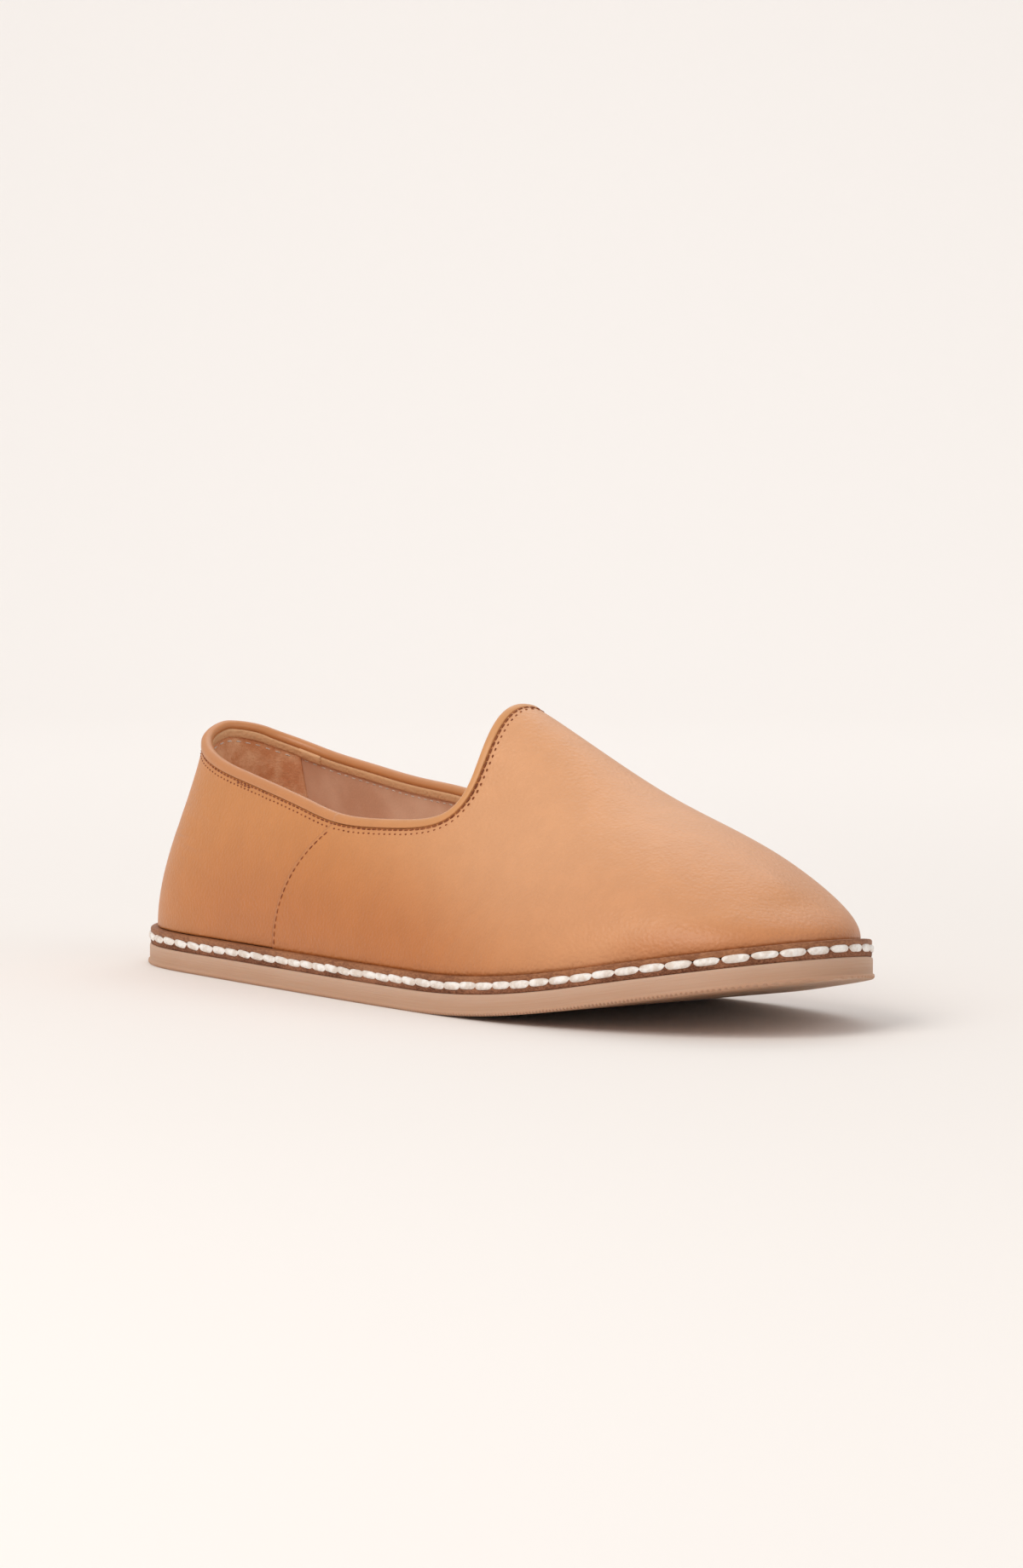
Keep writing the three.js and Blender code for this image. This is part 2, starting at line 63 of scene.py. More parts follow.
# fullness of the sections; tuck draws the wall in below the collar and belly lets it out low down
sections = np.array([  # along, outer side, inner side, outer shoulder, inner shoulder, tuck, belly
    (0.00, 2.3, 2.3, 1.9, 1.9, 0.95, 0.2), (0.15, 2.3, 2.6, 1.8, 2.3, 0.70, 0.6),
    (0.35, 2.3, 2.4, 1.8, 2.1, 0.65, 0.9), (0.55, 2.1, 2.2, 1.6, 1.8, 1.00, 1.0),
    (0.75, 2.0, 2.2, 1.7, 1.8, 0.35, 0.9), (1.00, 2.1, 2.1, 1.8, 1.8, 0.50, 0.2)])
# cut edge of the upper, row by row from the heel to the instep: where its column starts, its end on each side
topline = np.array([  # foot, outer along, outer up, inner along, inner up
    (0.000, 0.000, 0.560, 0.000, 0.560), (0.015, 0.020, 0.530, 0.020, 0.530),
    (0.075, 0.090, 0.475, 0.080, 0.455), (0.150, 0.165, 0.430, 0.150, 0.385),
    (0.225, 0.250, 0.395, 0.240, 0.350), (0.285, 0.325, 0.370, 0.315, 0.350),
    (0.330, 0.395, 0.350, 0.385, 0.350), (0.440, 0.470, 0.365, 0.460, 0.325),
    (0.560, 0.545, 0.420, 0.535, 0.385), (0.625, 0.575, 0.565, 0.560, 0.575),
    (0.670, 0.570, 0.790, 0.555, 0.800), (0.700, 0.565, 1.000, 0.565, 1.000)])


# natural cubic through (xs, ys); a flat end has slope 0
def smooth(xs, ys, flatStart=False, flatEnd=False):
    xs, ys = np.asarray(xs, float), np.asarray(ys, float)
    n, gap = len(xs), np.diff(xs)
    rise = np.diff(ys) / gap
    system, load, middle = np.eye(n), np.zeros(n), np.arange(1, n - 1)
    system[middle, middle - 1], system[middle, middle + 1] = gap[:-1], gap[1:]
    system[middle, middle] = 2 * (gap[:-1] + gap[1:])
    load[middle] = 6 * np.diff(rise)
    if flatStart:
        system[0, :2], load[0] = (2 * gap[0], gap[0]), 6 * rise[0]
    if flatEnd:
        system[-1, -2:], load[-1] = (gap[-1], 2 * gap[-1]), -6 * rise[-1]
    bend = np.linalg.solve(system, load)

    def at(x):
        x = np.asarray(x, float)
        i = np.clip(np.searchsorted(xs, x) - 1, 0, n - 2)
        h = gap[i]
        a, b = (xs[i + 1] - x) / h, (x - xs[i]) / h
        return a * ys[i] + b * ys[i + 1] + ((a**3 - a) * bend[i] + (b**3 - b) * bend[i + 1]) * h * h / 6
    return at


# a soft step from 0 at low to 1 at high
def fade(x, low, high):
    t = np.clip((x - low) / (high - low), 0, 1)
    return t * t * (3 - 2 * t)


# turn 0 to 1 runs from heel to toe by the angle of a half circle
def turnAt(share):
    return np.arccos(1 - 2 * np.asarray(share, float)) / math.pi


def shareAt(turn):
    return (1 - np.cos(math.pi * np.asarray(turn, float))) / 2


# Y of the outline once round: heel 0, toe 1 by the outer side, heel 2 by the inner side
def makeOutline():
    turns = turnAt(outline[:, 0])
    around = np.concatenate([[0], turns, [1], (2 - turns)[::-1]])
    across = np.concatenate([[0], -outline[:, 1], [slipper["tipOffset"]], outline[::-1, 2]]) * slipper["ball"]
    wrap = 6
    return smooth(np.concatenate([around[-wrap:] - 2, around, around[:wrap] + 2]),
                  np.concatenate([across[-wrap:], across, across[:wrap]]))


outlineY = makeOutline()


# point of the outline and the plan direction out of the sole: the tangent turned by a quarter
def outlineAt(around):
    around = np.asarray(around, float)

    def at(r):
        r = np.mod(r, 2)
        return np.stack([slipper["length"] * shareAt(np.minimum(r, 2 - r)), outlineY(r)], -1)
    step = 1e-4
    along = at(around + step) - at(around - step)
    out = np.stack([along[..., 1], -along[..., 0]], -1)
    return at(around), out / np.linalg.norm(out, axis=-1, keepdims=True)


# rise of the sole at x: flat, a soft bend, then a straight slope to the tip
def spring(x):
    start, soft = slipper["springStart"] * slipper["length"], slipper["springSoftness"]
    past = np.asarray(x, float) - start
    bent = np.where(past > soft, past, np.clip(past + soft, 0, None) ** 2 / (4 * soft))
    return bent * slipper["toeSpring"] / (slipper["length"] - start)


edgeRound = outlineAt(np.linspace(0, 2, 721))[0]
yMiddle = (edgeRound[:, 1].min() + edgeRound[:, 1].max()) / 2


# from the slipper's millimetres to the CAD frame in metres
def toFrame(points):
    return (np.asarray(points, float) - (slipper["length"] / 2, yMiddle, 0)) * 0.001


crestHeight = smooth(crest[:, 0], crest[:, 1] * slipper["instep"])
crestLine = {"outer": smooth(crest[:, 0], crest[:, 2] * slipper["ball"]),
             "inner": smooth(crest[:, 0], crest[:, 3] * slipper["ball"])}
sectionTurns = turnAt(sections[:, 0])
sideOuter, sideInner, shoulderOuter, shoulderInner, tuckShare, bellyShare = [
    smooth(sectionTurns, sections[:, k], flatStart=True, flatEnd=True) for k in range(1, 7)]
fullness = {"outer": (sideOuter, shoulderOuter), "inner": (sideInner, shoulderInner)}


# the crest at a turn: its point on one side of the collar's opening, and its slope along X
def crestAt(side, turn):
    reach = slipper["length"] - slipper["crestFromToe"] - slipper["crestFromHeel"]
    x = slipper["crestFromHeel"] + reach * shareAt(turn)
    lines = {name: crestLine[name](x / slipper["length"]) for name in crestLine}
    middle = (lines["outer"] + lines["inner"]) / 2
    y = middle + (lines[side] - middle) * fade(turn, 0, slipper["crestParting"])

    def height(at):
        return slipper["feather"] + spring(at) + crestHeight(at / slipper["length"])
    return np.stack([x, y, height(x)], -1), (height(x + 1) - height(x - 1)) / 2


# Outer face of the upper: a superellipse quarter from the foot on the welt (up 0) to the crest (up 1).
# plan = foot + (crest - foot) * inward + out * (belly - tuck)
# z = foot + rise * upward - fall to the crest's slope
def lastPoint(side, turn, up):
    turn, up = np.broadcast_arrays(np.asarray(turn, float), np.asarray(up, float))
    point, out = outlineAt(turn if side == "outer" else 2 - turn)
    ledge = slipper["ledgeAtHeel"] + (slipper["ledgeAtToe"] - slipper["ledgeAtHeel"]) * shareAt(turn)
    foot = point - out * ledge[..., None]
    footZ = slipper["feather"] + spring(foot[..., 0])
    top, slope = crestAt(side, turn)
    angle = up * math.pi / 2
    cosine, sine = np.clip(np.cos(angle), 0, 1), np.clip(np.sin(angle), 0, 1)
    inward, upward = 1 - cosine ** (2 / fullness[side][0](turn)), sine ** (2 / fullness[side][1](turn))
    drawn = (1 - np.cos(math.pi * np.clip(up / slipper["tuckEnd"], 0, 1))) / 2
    belly, tuck = slipper["belly"] * bellyShare(turn), slipper["tuck"] * tuckShare(turn)
    sway = belly * np.sin(2 * angle) * cosine - tuck * drawn * (1 - inward)
    plan = foot + (top[..., :2] - foot) * inward[..., None] + out * sway[..., None]
    fall = slope * (top[..., 0] - plan[..., 0]) * upward * sine
    return np.concatenate([plan, (footZ + (top[..., 2] - footZ) * upward - fall)[..., None]], -1)


# unit normal out of that face, from differences along turn and up
def lastNormal(side, turn, up):
    step = 2e-4
    low, high = np.clip(up - step, 0, 1), np.clip(up + step, 0, 1)
    along = lastPoint(side, np.clip(turn + step, 0, 1), up) - lastPoint(side, np.clip(turn - step, 0, 1), up)
    rise = lastPoint(side, turn, high) - lastPoint(side, turn, low)
    normal = np.cross(along, rise) if side == "outer" else np.cross(rise, along)
    return normal / np.linalg.norm(normal, axis=-1, keepdims=True)


rowNumbers = np.arange(len(topline))
edgeOf = {}
for name, column in (("outer", 1), ("inner", 3)):
    edgeOf[name] = (smooth(rowNumbers, turnAt(topline[:, column]), flatEnd=True),
                    smooth(rowNumbers, topline[:, column + 1], flatStart=True))
footTurn = smooth(rowNumbers, turnAt(topline[:, 0]))
lastRow = len(topline) - 1


def edgeAt(side, row):
    turn, up = edgeOf[side]
    return turn(row), np.minimum(up(row), 1)


# length along a line of points up to each of them
def lengthsOf(points):
    return np.concatenate([[0], np.cumsum(np.linalg.norm(np.diff(points, axis=0), axis=1))])


# row numbers from first to last, evenly spread by length along the outer topline
def evenRows(first, last, count):
    fine = np.linspace(first, last, 600)
    points = lastPoint("outer", *edgeAt("outer", fine))
    length = lengthsOf(points)
    return np.interp(np.linspace(0, length[-1], count), length, fine)


# Meshes from arrays

# the four corners' values of each face of a grid (..., columns, rows, 2)
def cornersOf(grid):
    corners = [grid[:-1, :-1], grid[1:, :-1], grid[1:, 1:], grid[:-1, 1:]]
    return np.stack(corners, 2).reshape(-1, 4, grid.shape[-1])


# faces of a grid of numbered points, (columns, rows)
def gridFaces(index, closeColumns=False, closeRows=False):
    if closeColumns:
        index = np.concatenate([index, index[:1]], 0)
    if closeRows:
        index = np.concatenate([index, index[:, :1]], 1)
    return np.stack([index[:-1, :-1], index[1:, :-1], index[1:, 1:], index[:-1, 1:]], -1).reshape(-1, 4)


# vertex normals: the cross products of each face's diagonals, summed at its corners
def normalsOf(points, faces):
    a, b, c, d = (points[faces[:, k]] for k in range(4))
    face = np.cross(c - a, d - b)
    normals = np.zeros_like(points)
    for k in range(4):
        np.add.at(normals, faces[:, k], face)
    return normals / (np.linalg.norm(normals, axis=1, keepdims=True) + 1e-12)


# a closed body from an open sheet: the sheet, the same moved in by depth, and a rim along every open edge
def thicken(points, faces, normals, depth, rimDrop=0.0):
    count = len(points)
    edges = np.concatenate([faces[:, [k, (k + 1) % 4]] for k in range(4)])
    edges = edges[edges[:, 0] != edges[:, 1]]
    key = edges[:, 0] * count + edges[:, 1]
    back = edges[:, 1] * count + edges[:, 0]
    rim = edges[~np.isin(key, back)]
    outer = points.copy()
    outer[np.unique(rim)] -= normals[np.unique(rim)] * rimDrop
    inner = points - normals * depth
    sides = np.stack([rim[:, 1], rim[:, 0], rim[:, 0] + count, rim[:, 1] + count], -1)
    return np.concatenate([outer, inner]), np.concatenate([faces, faces[:, ::-1] + count, sides])


# signed volume of a closed body, to see whether its faces point out
def volumeOf(points, faces):
    a, b, c, d = (points[faces[:, k]] for k in range(4))
    return (np.einsum("ij,ij->i", a, np.cross(b, c)) + np.einsum("ij,ij->i", a, np.cross(c, d))).sum()


# a Blender object from points in millimetres and faces; a triangle names its last corner twice
def addPiece(name, points, faces, material, slot, uv=None, flat=None, closed=True):
    if closed and volumeOf(points - points.mean(0), faces) < 0:
        faces = faces[:, ::-1]
        uv = None if uv is None else uv[:, ::-1]
    repeated = faces == np.roll(faces, 1, axis=1)
    keep = ~repeated
    total = keep.sum(1)
    sound = total > 2
    faces, keep, total = faces[sound], keep[sound], total[sound]
    used, corners = np.unique(faces[keep], return_inverse=True)
    mesh = bpy.data.meshes.new(name)
    mesh.vertices.add(len(used))
    mesh.vertices.foreach_set("co", toFrame(points[used]).astype(np.float32).ravel())
    mesh.loops.add(len(corners))
    mesh.loops.foreach_set("vertex_index", corners.astype(np.int32))
    mesh.polygons.add(len(faces))
    mesh.polygons.foreach_set("loop_start", np.concatenate([[0], np.cumsum(total)[:-1]]).astype(np.int32))
    smoothFaces = np.ones(len(faces), bool) if flat is None else ~flat[sound]
    mesh.polygons.foreach_set("use_smooth", smoothFaces)
    mesh.update(calc_edges=True)
    if uv is not None:
        layer = mesh.uv_layers.new(name="UVMap")
        layer.data.foreach_set("uv", (uv[sound][keep] * 0.01).astype(np.float32).ravel())
    mesh.validate()
    mesh.materials.append(material)
    piece = bpy.data.objects.new(name, mesh)
    bpy.context.scene.collection.objects.link(piece)
    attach(piece, "root")
    return piece


# Material helpers

# sRGB hex to linear colour
def colour(hexValue):
    parts = [int(hexValue[k:k + 2], 16) / 255 for k in (1, 3, 5)]
    return (*[p / 12.92 if p <= 0.04045 else ((p + 0.055) / 1.055) ** 2.4 for p in parts], 1.0)


# adds one node: settings are its own properties, inputs are values or the outputs they are linked to
def add(tree, kind, inputs=None, **settings):
    node = tree.nodes.new(kind)
    for key, value in settings.items():
        setattr(node, key, value)
    for key, value in (inputs or {}).items():
        if isinstance(value, bpy.types.NodeSocket):
            tree.links.new(value, node.inputs[key])
        else:
            node.inputs[key].default_value = value
    return node


def newMaterial(name):
    material = bpy.data.materials.new(name)
    material.use_nodes = True
    material.node_tree.nodes.clear()
    return material, material.node_tree


# the shader with its bump and the output: plain values go on the shader's own sockets
def finishMaterial(tree, inputs, height=None, strength=0.3, distance=0.0003):
    shader = add(tree, "ShaderNodeBsdfPrincipled", inputs)
    if height is not None:
        bump = add(tree, "ShaderNodeBump", {"Strength": strength, "Distance": distance, "Height": height})
        tree.links.new(bump.outputs["Normal"], shader.inputs["Normal"])
    add(tree, "ShaderNodeOutputMaterial", {"Surface": shader.outputs[0]})


def mapRange(tree, value, low, high, toLow=0.0, toHigh=1.0):
    ends = {"Value": value, "From Min": low, "From Max": high, "To Min": toLow, "To Max": toHigh}
    node = add(tree, "ShaderNodeMapRange", ends, interpolation_type="SMOOTHSTEP")
    return node.outputs[0]


def mixColour(tree, factor, a, b, blend="MIX"):
    node = add(tree, "ShaderNodeMix", {0: factor, 6: a, 7: b}, data_type="RGBA", blend_type=blend)
    return node.outputs[2]


def calc(tree, operation, a, b=0.0, clamp=False):
    return add(tree, "ShaderNodeMath", {0: a, 1: b}, operation=operation, use_clamp=clamp).outputs[0]


# Leather of the upper
# Vegetable-tanned calf, hand-burnished and waxed: a fine pebble grain and a soft satin gloss. Its colour is
# warmer and deeper low on the sides, partly its own tone and partly painted shade, and paler where it is
# pulled over the last, partly painted light.
calf = {
    "pale": "#da9e70", "tan": "#cb864c", "deepAndShaded": "#b76b33",
    "grainMm": 0.9, "poreMm": 0.25, "grain": 0.55, "roughness": 0.45, "wrinkleMm": 1.6, "wrinkle": 1.1,
    "cloudPerMetre": 22.0, "mottlePerMetre": 130.0, "coat": 0.12, "coatRoughness": 0.38, "bumpDepth": 0.0004,
    # zones in metres, each from where it is nothing to where it is full: low, toe and welt zones set painted
    # shade, pale zones painted light, the heel zone a painted sheen
    "shadeLowFrom": (0.052, 0.016), "toeFrom": (0.03, 0.135), "toeLift": 0.014, "paleLitFrom": (0.02, 0.12),
    "paleLitLean": 1.6, "heelSheenFrom": (-0.125, -0.06), "toeShadeFrom": (0.075, 0.11), "toeShadeNearWelt": (0.024, 0.010),
    "shadeLowShare": 0.75, "shadeLowAtHeelSheen": 0.25, "shadeLowWhereLit": 0.35, "toeShadeShare": 0.85,
    "wrinkleFrom": (-0.070, -0.115), "wrinkleFoot": (0.028, 0.036), "wrinkleTop": (0.058, 0.050),
}


def calfMaterial(name, values, wrinkled=True):
    material, tree = newMaterial(name)
    place = add(tree, "ShaderNodeTexCoord").outputs["Object"]
    xyz = add(tree, "ShaderNodeSeparateXYZ", {0: place}).outputs
    cloudy = add(tree, "ShaderNodeTexNoise", {"Vector": place, "Scale": values["cloudPerMetre"],
                                               "Detail": 3.0, "Roughness": 0.55})
    mottle = add(tree, "ShaderNodeTexNoise", {"Vector": place, "Scale": values["mottlePerMetre"],
                                               "Detail": 4.0, "Roughness": 0.6})
    toe = mapRange(tree, xyz[0], *values["toeFrom"])
    height = calc(tree, "SUBTRACT", xyz[2], calc(tree, "MULTIPLY", toe, values["toeLift"]))
    # painted shade: the deep colour comes in low on the sides, with a cloudy edge
    low = mapRange(tree, height, *values["shadeLowFrom"])
    low = calc(tree, "ADD", low, calc(tree, "MULTIPLY", cloudy.outputs[0], 0.4))
    low = calc(tree, "SUBTRACT", low, 0.2, clamp=True)
    # painted light: paler over the top of the last and towards the toe, with less painted shade there
    ahead = calc(tree, "ADD", xyz[0], calc(tree, "MULTIPLY", height, values["paleLitLean"]))
    high = mapRange(tree, ahead, *values["paleLitFrom"])
    low = calc(tree, "MULTIPLY", low, mapRange(tree, high, 0.0, 1.0, 1.0, values["shadeLowWhereLit"]))
    # painted sheen: less of the deep colour low on the heel
    low = calc(tree, "MULTIPLY", low, mapRange(tree, xyz[0], *values["heelSheenFrom"], values["shadeLowAtHeelSheen"], 1.0))
    # painted shade: the toe's lower side near the welt is deepened
    toeShadeNearWelt = mapRange(tree, height, *values["toeShadeNearWelt"])
    toeShade = calc(tree, "MULTIPLY", mapRange(tree, xyz[0], *values["toeShadeFrom"]), toeShadeNearWelt)
    low = calc(tree, "MAXIMUM", low, calc(tree, "MULTIPLY", toeShade, values["toeShadeShare"]))
    base = mixColour(tree, high, colour(values["tan"]), colour(values["pale"]))
    base = mixColour(tree, calc(tree, "MULTIPLY", low, values["shadeLowShare"]), base, colour(values["deepAndShaded"]))
    spots = mapRange(tree, mottle.outputs[0], 0.35, 0.7, 0.97, 1.02)
    grey = add(tree, "ShaderNodeCombineColor", {0: spots, 1: spots, 2: spots}).outputs[0]
    base = mixColour(tree, 1.0, base, grey, "MULTIPLY")
    cellScale, poreScale = 1000 / values["grainMm"], 1000 / values["poreMm"] / 4
    cells = add(tree, "ShaderNodeTexVoronoi", {"Vector": place, "Scale": cellScale}, feature="SMOOTH_F1")
    pores = add(tree, "ShaderNodeTexNoise", {"Vector": place, "Scale": poreScale, "Detail": 3.0})
    fine = calc(tree, "MULTIPLY", pores.outputs[0], 0.5)
    grain = calc(tree, "ADD", calc(tree, "MULTIPLY", cells.outputs[0], 0.8), fine)
    if wrinkled:  # fine slanting wrinkles where the counter bends, at the heel
        turned = {"Vector": place, "Rotation": (0.0, 0.42, 0.0), "Scale": (0.14, 0.14, 1.0)}
        slanted = add(tree, "ShaderNodeMapping", turned).outputs[0]
        lineScale = 1000 / values["wrinkleMm"] / 2
        waves = {"Vector": slanted, "Scale": lineScale, "Detail": 2.0, "Distortion": 0.4}
        lines = add(tree, "ShaderNodeTexNoise", waves).outputs[0]
        over = mapRange(tree, xyz[2], *values["wrinkleFoot"])
        under = mapRange(tree, xyz[2], *values["wrinkleTop"])
        atHeel = mapRange(tree, xyz[0], *values["wrinkleFrom"])
        where = calc(tree, "MULTIPLY", atHeel, calc(tree, "MULTIPLY", over, under))
        raised = calc(tree, "MULTIPLY", calc(tree, "MULTIPLY", lines, where), values["wrinkle"] * 6)
        grain = calc(tree, "ADD", grain, raised)
    satin = {"Base Color": base, "Roughness": values["roughness"], "IOR": 1.48, "Coat Weight": values["coat"],
             "Coat Roughness": values["coatRoughness"]}
    finishMaterial(tree, satin, grain, values["grain"], values["bumpDepth"])
    return material


calfUpper = calfMaterial("vegetableTannedCalf", calf)
# the binding takes the same painted shade, painted light and painted sheen as the upper
beadCalf = {**calf, "pale": "#d2955f", "tan": "#c78450", "deepAndShaded": "#b3703e", "roughness": 0.40, "grain": 0.10}
calfBinding = calfMaterial("rolledCalfBinding", beadCalf, wrinkled=False)


# Upper
upper = {
    "columns": 96, "crestColumns": 120, "rows": 60, "vampThick": 0.85, "quarterThick": 1.0,
    "underlapRows": 0.35, "liningRow": 2.0, "liningDepth": 1.05, "suedeProud": 0.25, "footTuck": 1.0,
    "footDrop": 0.28,
}
# soft troughs pressed into the leather: from and to are (along, up) on a side, width and depth in mm
creases = [
    {"side": "outer", "start": (0.585, 0.62), "end": (0.640, 0.42), "width": 7.0, "depth": 0.5},
    {"side": "inner", "start": (0.580, 0.62), "end": (0.640, 0.42), "width": 7.0, "depth": 0.5},
    {"side": "outer", "start": (0.05, 0.34), "end": (0.17, 0.26), "width": 3.0, "depth": 0.18},
    {"side": "outer", "start": (0.03, 0.29), "end": (0.16, 0.20), "width": 2.6, "depth": 0.15},
    {"side": "inner", "start": (0.05, 0.34), "end": (0.17, 0.26), "width": 3.0, "depth": 0.18},
    {"side": "outer", "start": (0.58, 0.05), "end": (0.60, 0.15), "width": 1.5, "depth": 0.18},
    {"side": "outer", "start": (0.62, 0.05), "end": (0.65, 0.18), "width": 1.7, "depth": 0.24},
    {"side": "outer", "start": (0.66, 0.04), "end": (0.68, 0.14), "width": 1.4, "depth": 0.20},
    {"side": "outer", "start": (0.70, 0.04), "end": (0.72, 0.16), "width": 1.8, "depth": 0.24},
    {"side": "outer", "start": (0.75, 0.04), "end": (0.76, 0.12), "width": 1.5, "depth": 0.18},
]


# depth of the creases at points: each a bell curve of the distance from its line between two places
def creaseDepth(points):
    depth = np.zeros(len(points))
    for crease in creases:
        ends = (crease["start"], crease["end"])
        start, end = [lastPoint(crease["side"], turnAt(along), up) for along, up in ends]
        line = end - start
        share = np.clip((points - start) @ line / (line @ line), 0, 1)
        away = np.linalg.norm(points - start - share[:, None] * line, axis=1)
        taper = 0.35 + 0.65 * np.sin(math.pi * share)
        depth += crease["depth"] * taper * np.exp(-(away / crease["width"]) ** 2)
    return depth


# The last's face between two rows of the topline, with extra columns over the crest to the toe. A column
# runs from its foot to its end by part ** bow. Both sides share the heel's column, the toe's and the crest.
def lastSheet(first, last, columns, crestColumns, rows, tucked=True):
    row = evenRows(first, last, columns)
    part = np.linspace(0, 1, rows)
    ahead = np.arange(1, crestColumns + 1) / max(crestColumns, 1)
    foot = footTurn(row)
    foot = np.append(foot, foot[-1] + (1 - foot[-1]) * ahead)
    crestTurn = edgeAt("outer", row[-1])[0]
    grids = {}
    for side in ("outer", "inner"):
        turn, up = edgeAt(side, row)
        share = shareAt(crestTurn)
        turn = np.append(turn, turnAt(np.minimum(share + (1 - share) * ahead, 1)))
        up = np.append(up, np.ones(crestColumns))
        grid = lastPoint(side, foot[:, None] + (turn - foot)[:, None] * part ** slipper["columnBow"],
                         up[:, None] * part)
        if tucked:  # the lasted edge turns in under the foot line and closes the joint to the welt
            out = outlineAt(foot if side == "outer" else 2 - foot)[1]
            drop = np.full((len(foot), 1), upper["footDrop"])
            under = grid[:, 0] - np.concatenate([out * upper["footTuck"], drop], 1)
            grid = np.concatenate([under[:, None], grid], 1)
        grids[side] = grid
    columnsAll, rowsAll = grids["outer"].shape[:2]
    outer = np.arange(columnsAll * rowsAll).reshape(columnsAll, rowsAll)
    inner = outer + outer.size
    if first == 0:
        inner[0] = outer[0]
    if crestColumns:
        inner[-1] = outer[-1]
        inner[columns - 1:, -1] = outer[columns - 1:, -1]
    points = np.concatenate([grids["outer"].reshape(-1, 3), grids["inner"].reshape(-1, 3)])
    faces = np.concatenate([gridFaces(outer), gridFaces(inner)[:, ::-1]])
    return points, faces, normalsOf(points, faces)


def upperPiece(name, sheet, proud, depth, material, slotName, rimDrop=0.0, creased=True):
    points, faces, normals = sheet
    offset = proud - (creaseDepth(points) if creased else 0)
    outside = points + normals * np.broadcast_to(offset, len(points))[:, None]
    shell, shellFaces = thicken(outside, faces, normals, depth, rimDrop)
    return addPiece(name, shell, shellFaces, material, slotName)


vampSheet = lastSheet(slipper["seamRow"], lastRow, upper["columns"], upper["crestColumns"], upper["rows"])
quarterEnd = slipper["seamRow"] + upper["underlapRows"]
quarterSheet = lastSheet(0, quarterEnd, upper["columns"] + 30, 0, upper["rows"])
vamp = upperPiece("vamp", vampSheet, slipper["lapStep"], upper["vampThick"], calfUpper, "upper_leather", 0.12)
upperPiece("quarters", quarterSheet, 0.0, upper["quarterThick"], calfUpper, "upper_leather")
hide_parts("upper")
print("vamp and quarters done")


# Linings
# Suede split at the heel: napped flesh side, matt and cloudy brown. Smooth pigskin lining ahead of it, dull.
suede = {"dark": "#dc9a6c", "light": "#f6c69b", "napMm": 0.5, "roughness": 0.95}
liningLeather = {"dark": "#dbac8d", "light": "#ebc3a6", "grainMm": 0.7, "roughness": 0.62}


def suedeMaterial():
    material, tree = newMaterial("brushedSuedeSplit")
    place = add(tree, "ShaderNodeTexCoord").outputs["Object"]
    cloud = add(tree, "ShaderNodeTexNoise", {"Vector": place, "Scale": 160.0, "Detail": 5.0,
                                              "Roughness": 0.7})
    nap = add(tree, "ShaderNodeTexNoise", {"Vector": place, "Scale": 1000 / suede["napMm"], "Detail": 2.0})
    patches = mapRange(tree, cloud.outputs[0], 0.35, 0.68)
    base = mixColour(tree, patches, colour(suede["dark"]), colour(suede["light"]))
    napped = {"Base Color": base, "Roughness": suede["roughness"], "Specular IOR Level": 0.2,
              "Sheen Weight": 0.3, "Sheen Roughness": 0.5}
    finishMaterial(tree, napped, nap.outputs[0], 0.5, 0.0004)
    return material


def liningMaterial():
    material, tree = newMaterial("smoothPigskinLining")
    place = add(tree, "ShaderNodeTexCoord").outputs["Object"]
    cloud = add(tree, "ShaderNodeTexNoise", {"Vector": place, "Scale": 60.0, "Detail": 4.0})
    cells = add(tree, "ShaderNodeTexVoronoi", {"Vector": place, "Scale": 1000 / liningLeather["grainMm"]})
    patches = mapRange(tree, cloud.outputs[0], 0.35, 0.65)
    base = mixColour(tree, patches, colour(liningLeather["dark"]), colour(liningLeather["light"]))
    dull = {"Base Color": base, "Roughness": liningLeather["roughness"], "IOR": 1.45}
    finishMaterial(tree, dull, cells.outputs[0], 0.12, 0.0003)
    return material


suedeFinish, liningFinish = suedeMaterial(), liningMaterial()
heelSheet = lastSheet(0, upper["liningRow"] + 0.12, 60, 0, 40, tucked=False)
frontSheet = lastSheet(upper["liningRow"], lastRow, 90, 70, 44, tucked=False)
heelDepth = slipper["wall"] - upper["liningDepth"] + upper["suedeProud"]
frontDepth = slipper["wall"] - upper["liningDepth"]
for name, sheet, depth, finish in (("heel_lining", heelSheet, heelDepth, suedeFinish),
                                   ("vamp_lining", frontSheet, frontDepth, liningFinish)):
    upperPiece(name, sheet, -upper["liningDepth"], depth, finish, "lining_leather", creased=False)
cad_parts["insole"].data.materials.clear()
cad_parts["insole"].data.materials.append(liningFinish)
print("linings done")


# Paths that pieces and stitches follow

# Frames along a path: point, outward normal, side = normal x tangent, looked up by length in mm
def makePath(points, normals, closed=True):
    if closed:
        tangent = np.roll(points, -1, 0) - np.roll(points, 1, 0)
    else:
        tangent = np.gradient(points, axis=0)
    tangent /= np.linalg.norm(tangent, axis=1, keepdims=True)
    normals = normals - np.einsum("ij,ij->i", normals, tangent)[:, None] * tangent
    normals /= np.linalg.norm(normals, axis=1, keepdims=True)
    data = np.concatenate([points, normals, np.cross(normals, tangent)], 1)
    if closed:
        data = np.concatenate([data, data[:1]])
    return {"data": data, "length": lengthsOf(data[:, :3]), "closed": closed}


def alongPath(path, s):
    total = path["length"][-1]
    s = np.mod(s, total) if path["closed"] else np.clip(s, 0, total)
    data = [np.interp(s, path["length"], path["data"][:, k]) for k in range(9)]
    return [np.stack(data[k:k + 3], -1) for k in (0, 3, 6)]


# a path moved by so much to its side and out along its normal
def shiftPath(path, aside, out=0.0):
    data = path["data"][:-1] if path["closed"] else path["data"]
    points, normals, side = data[:, :3], data[:, 3:6], data[:, 6:]
    return makePath(points + side * aside + normals * out, normals, path["closed"])


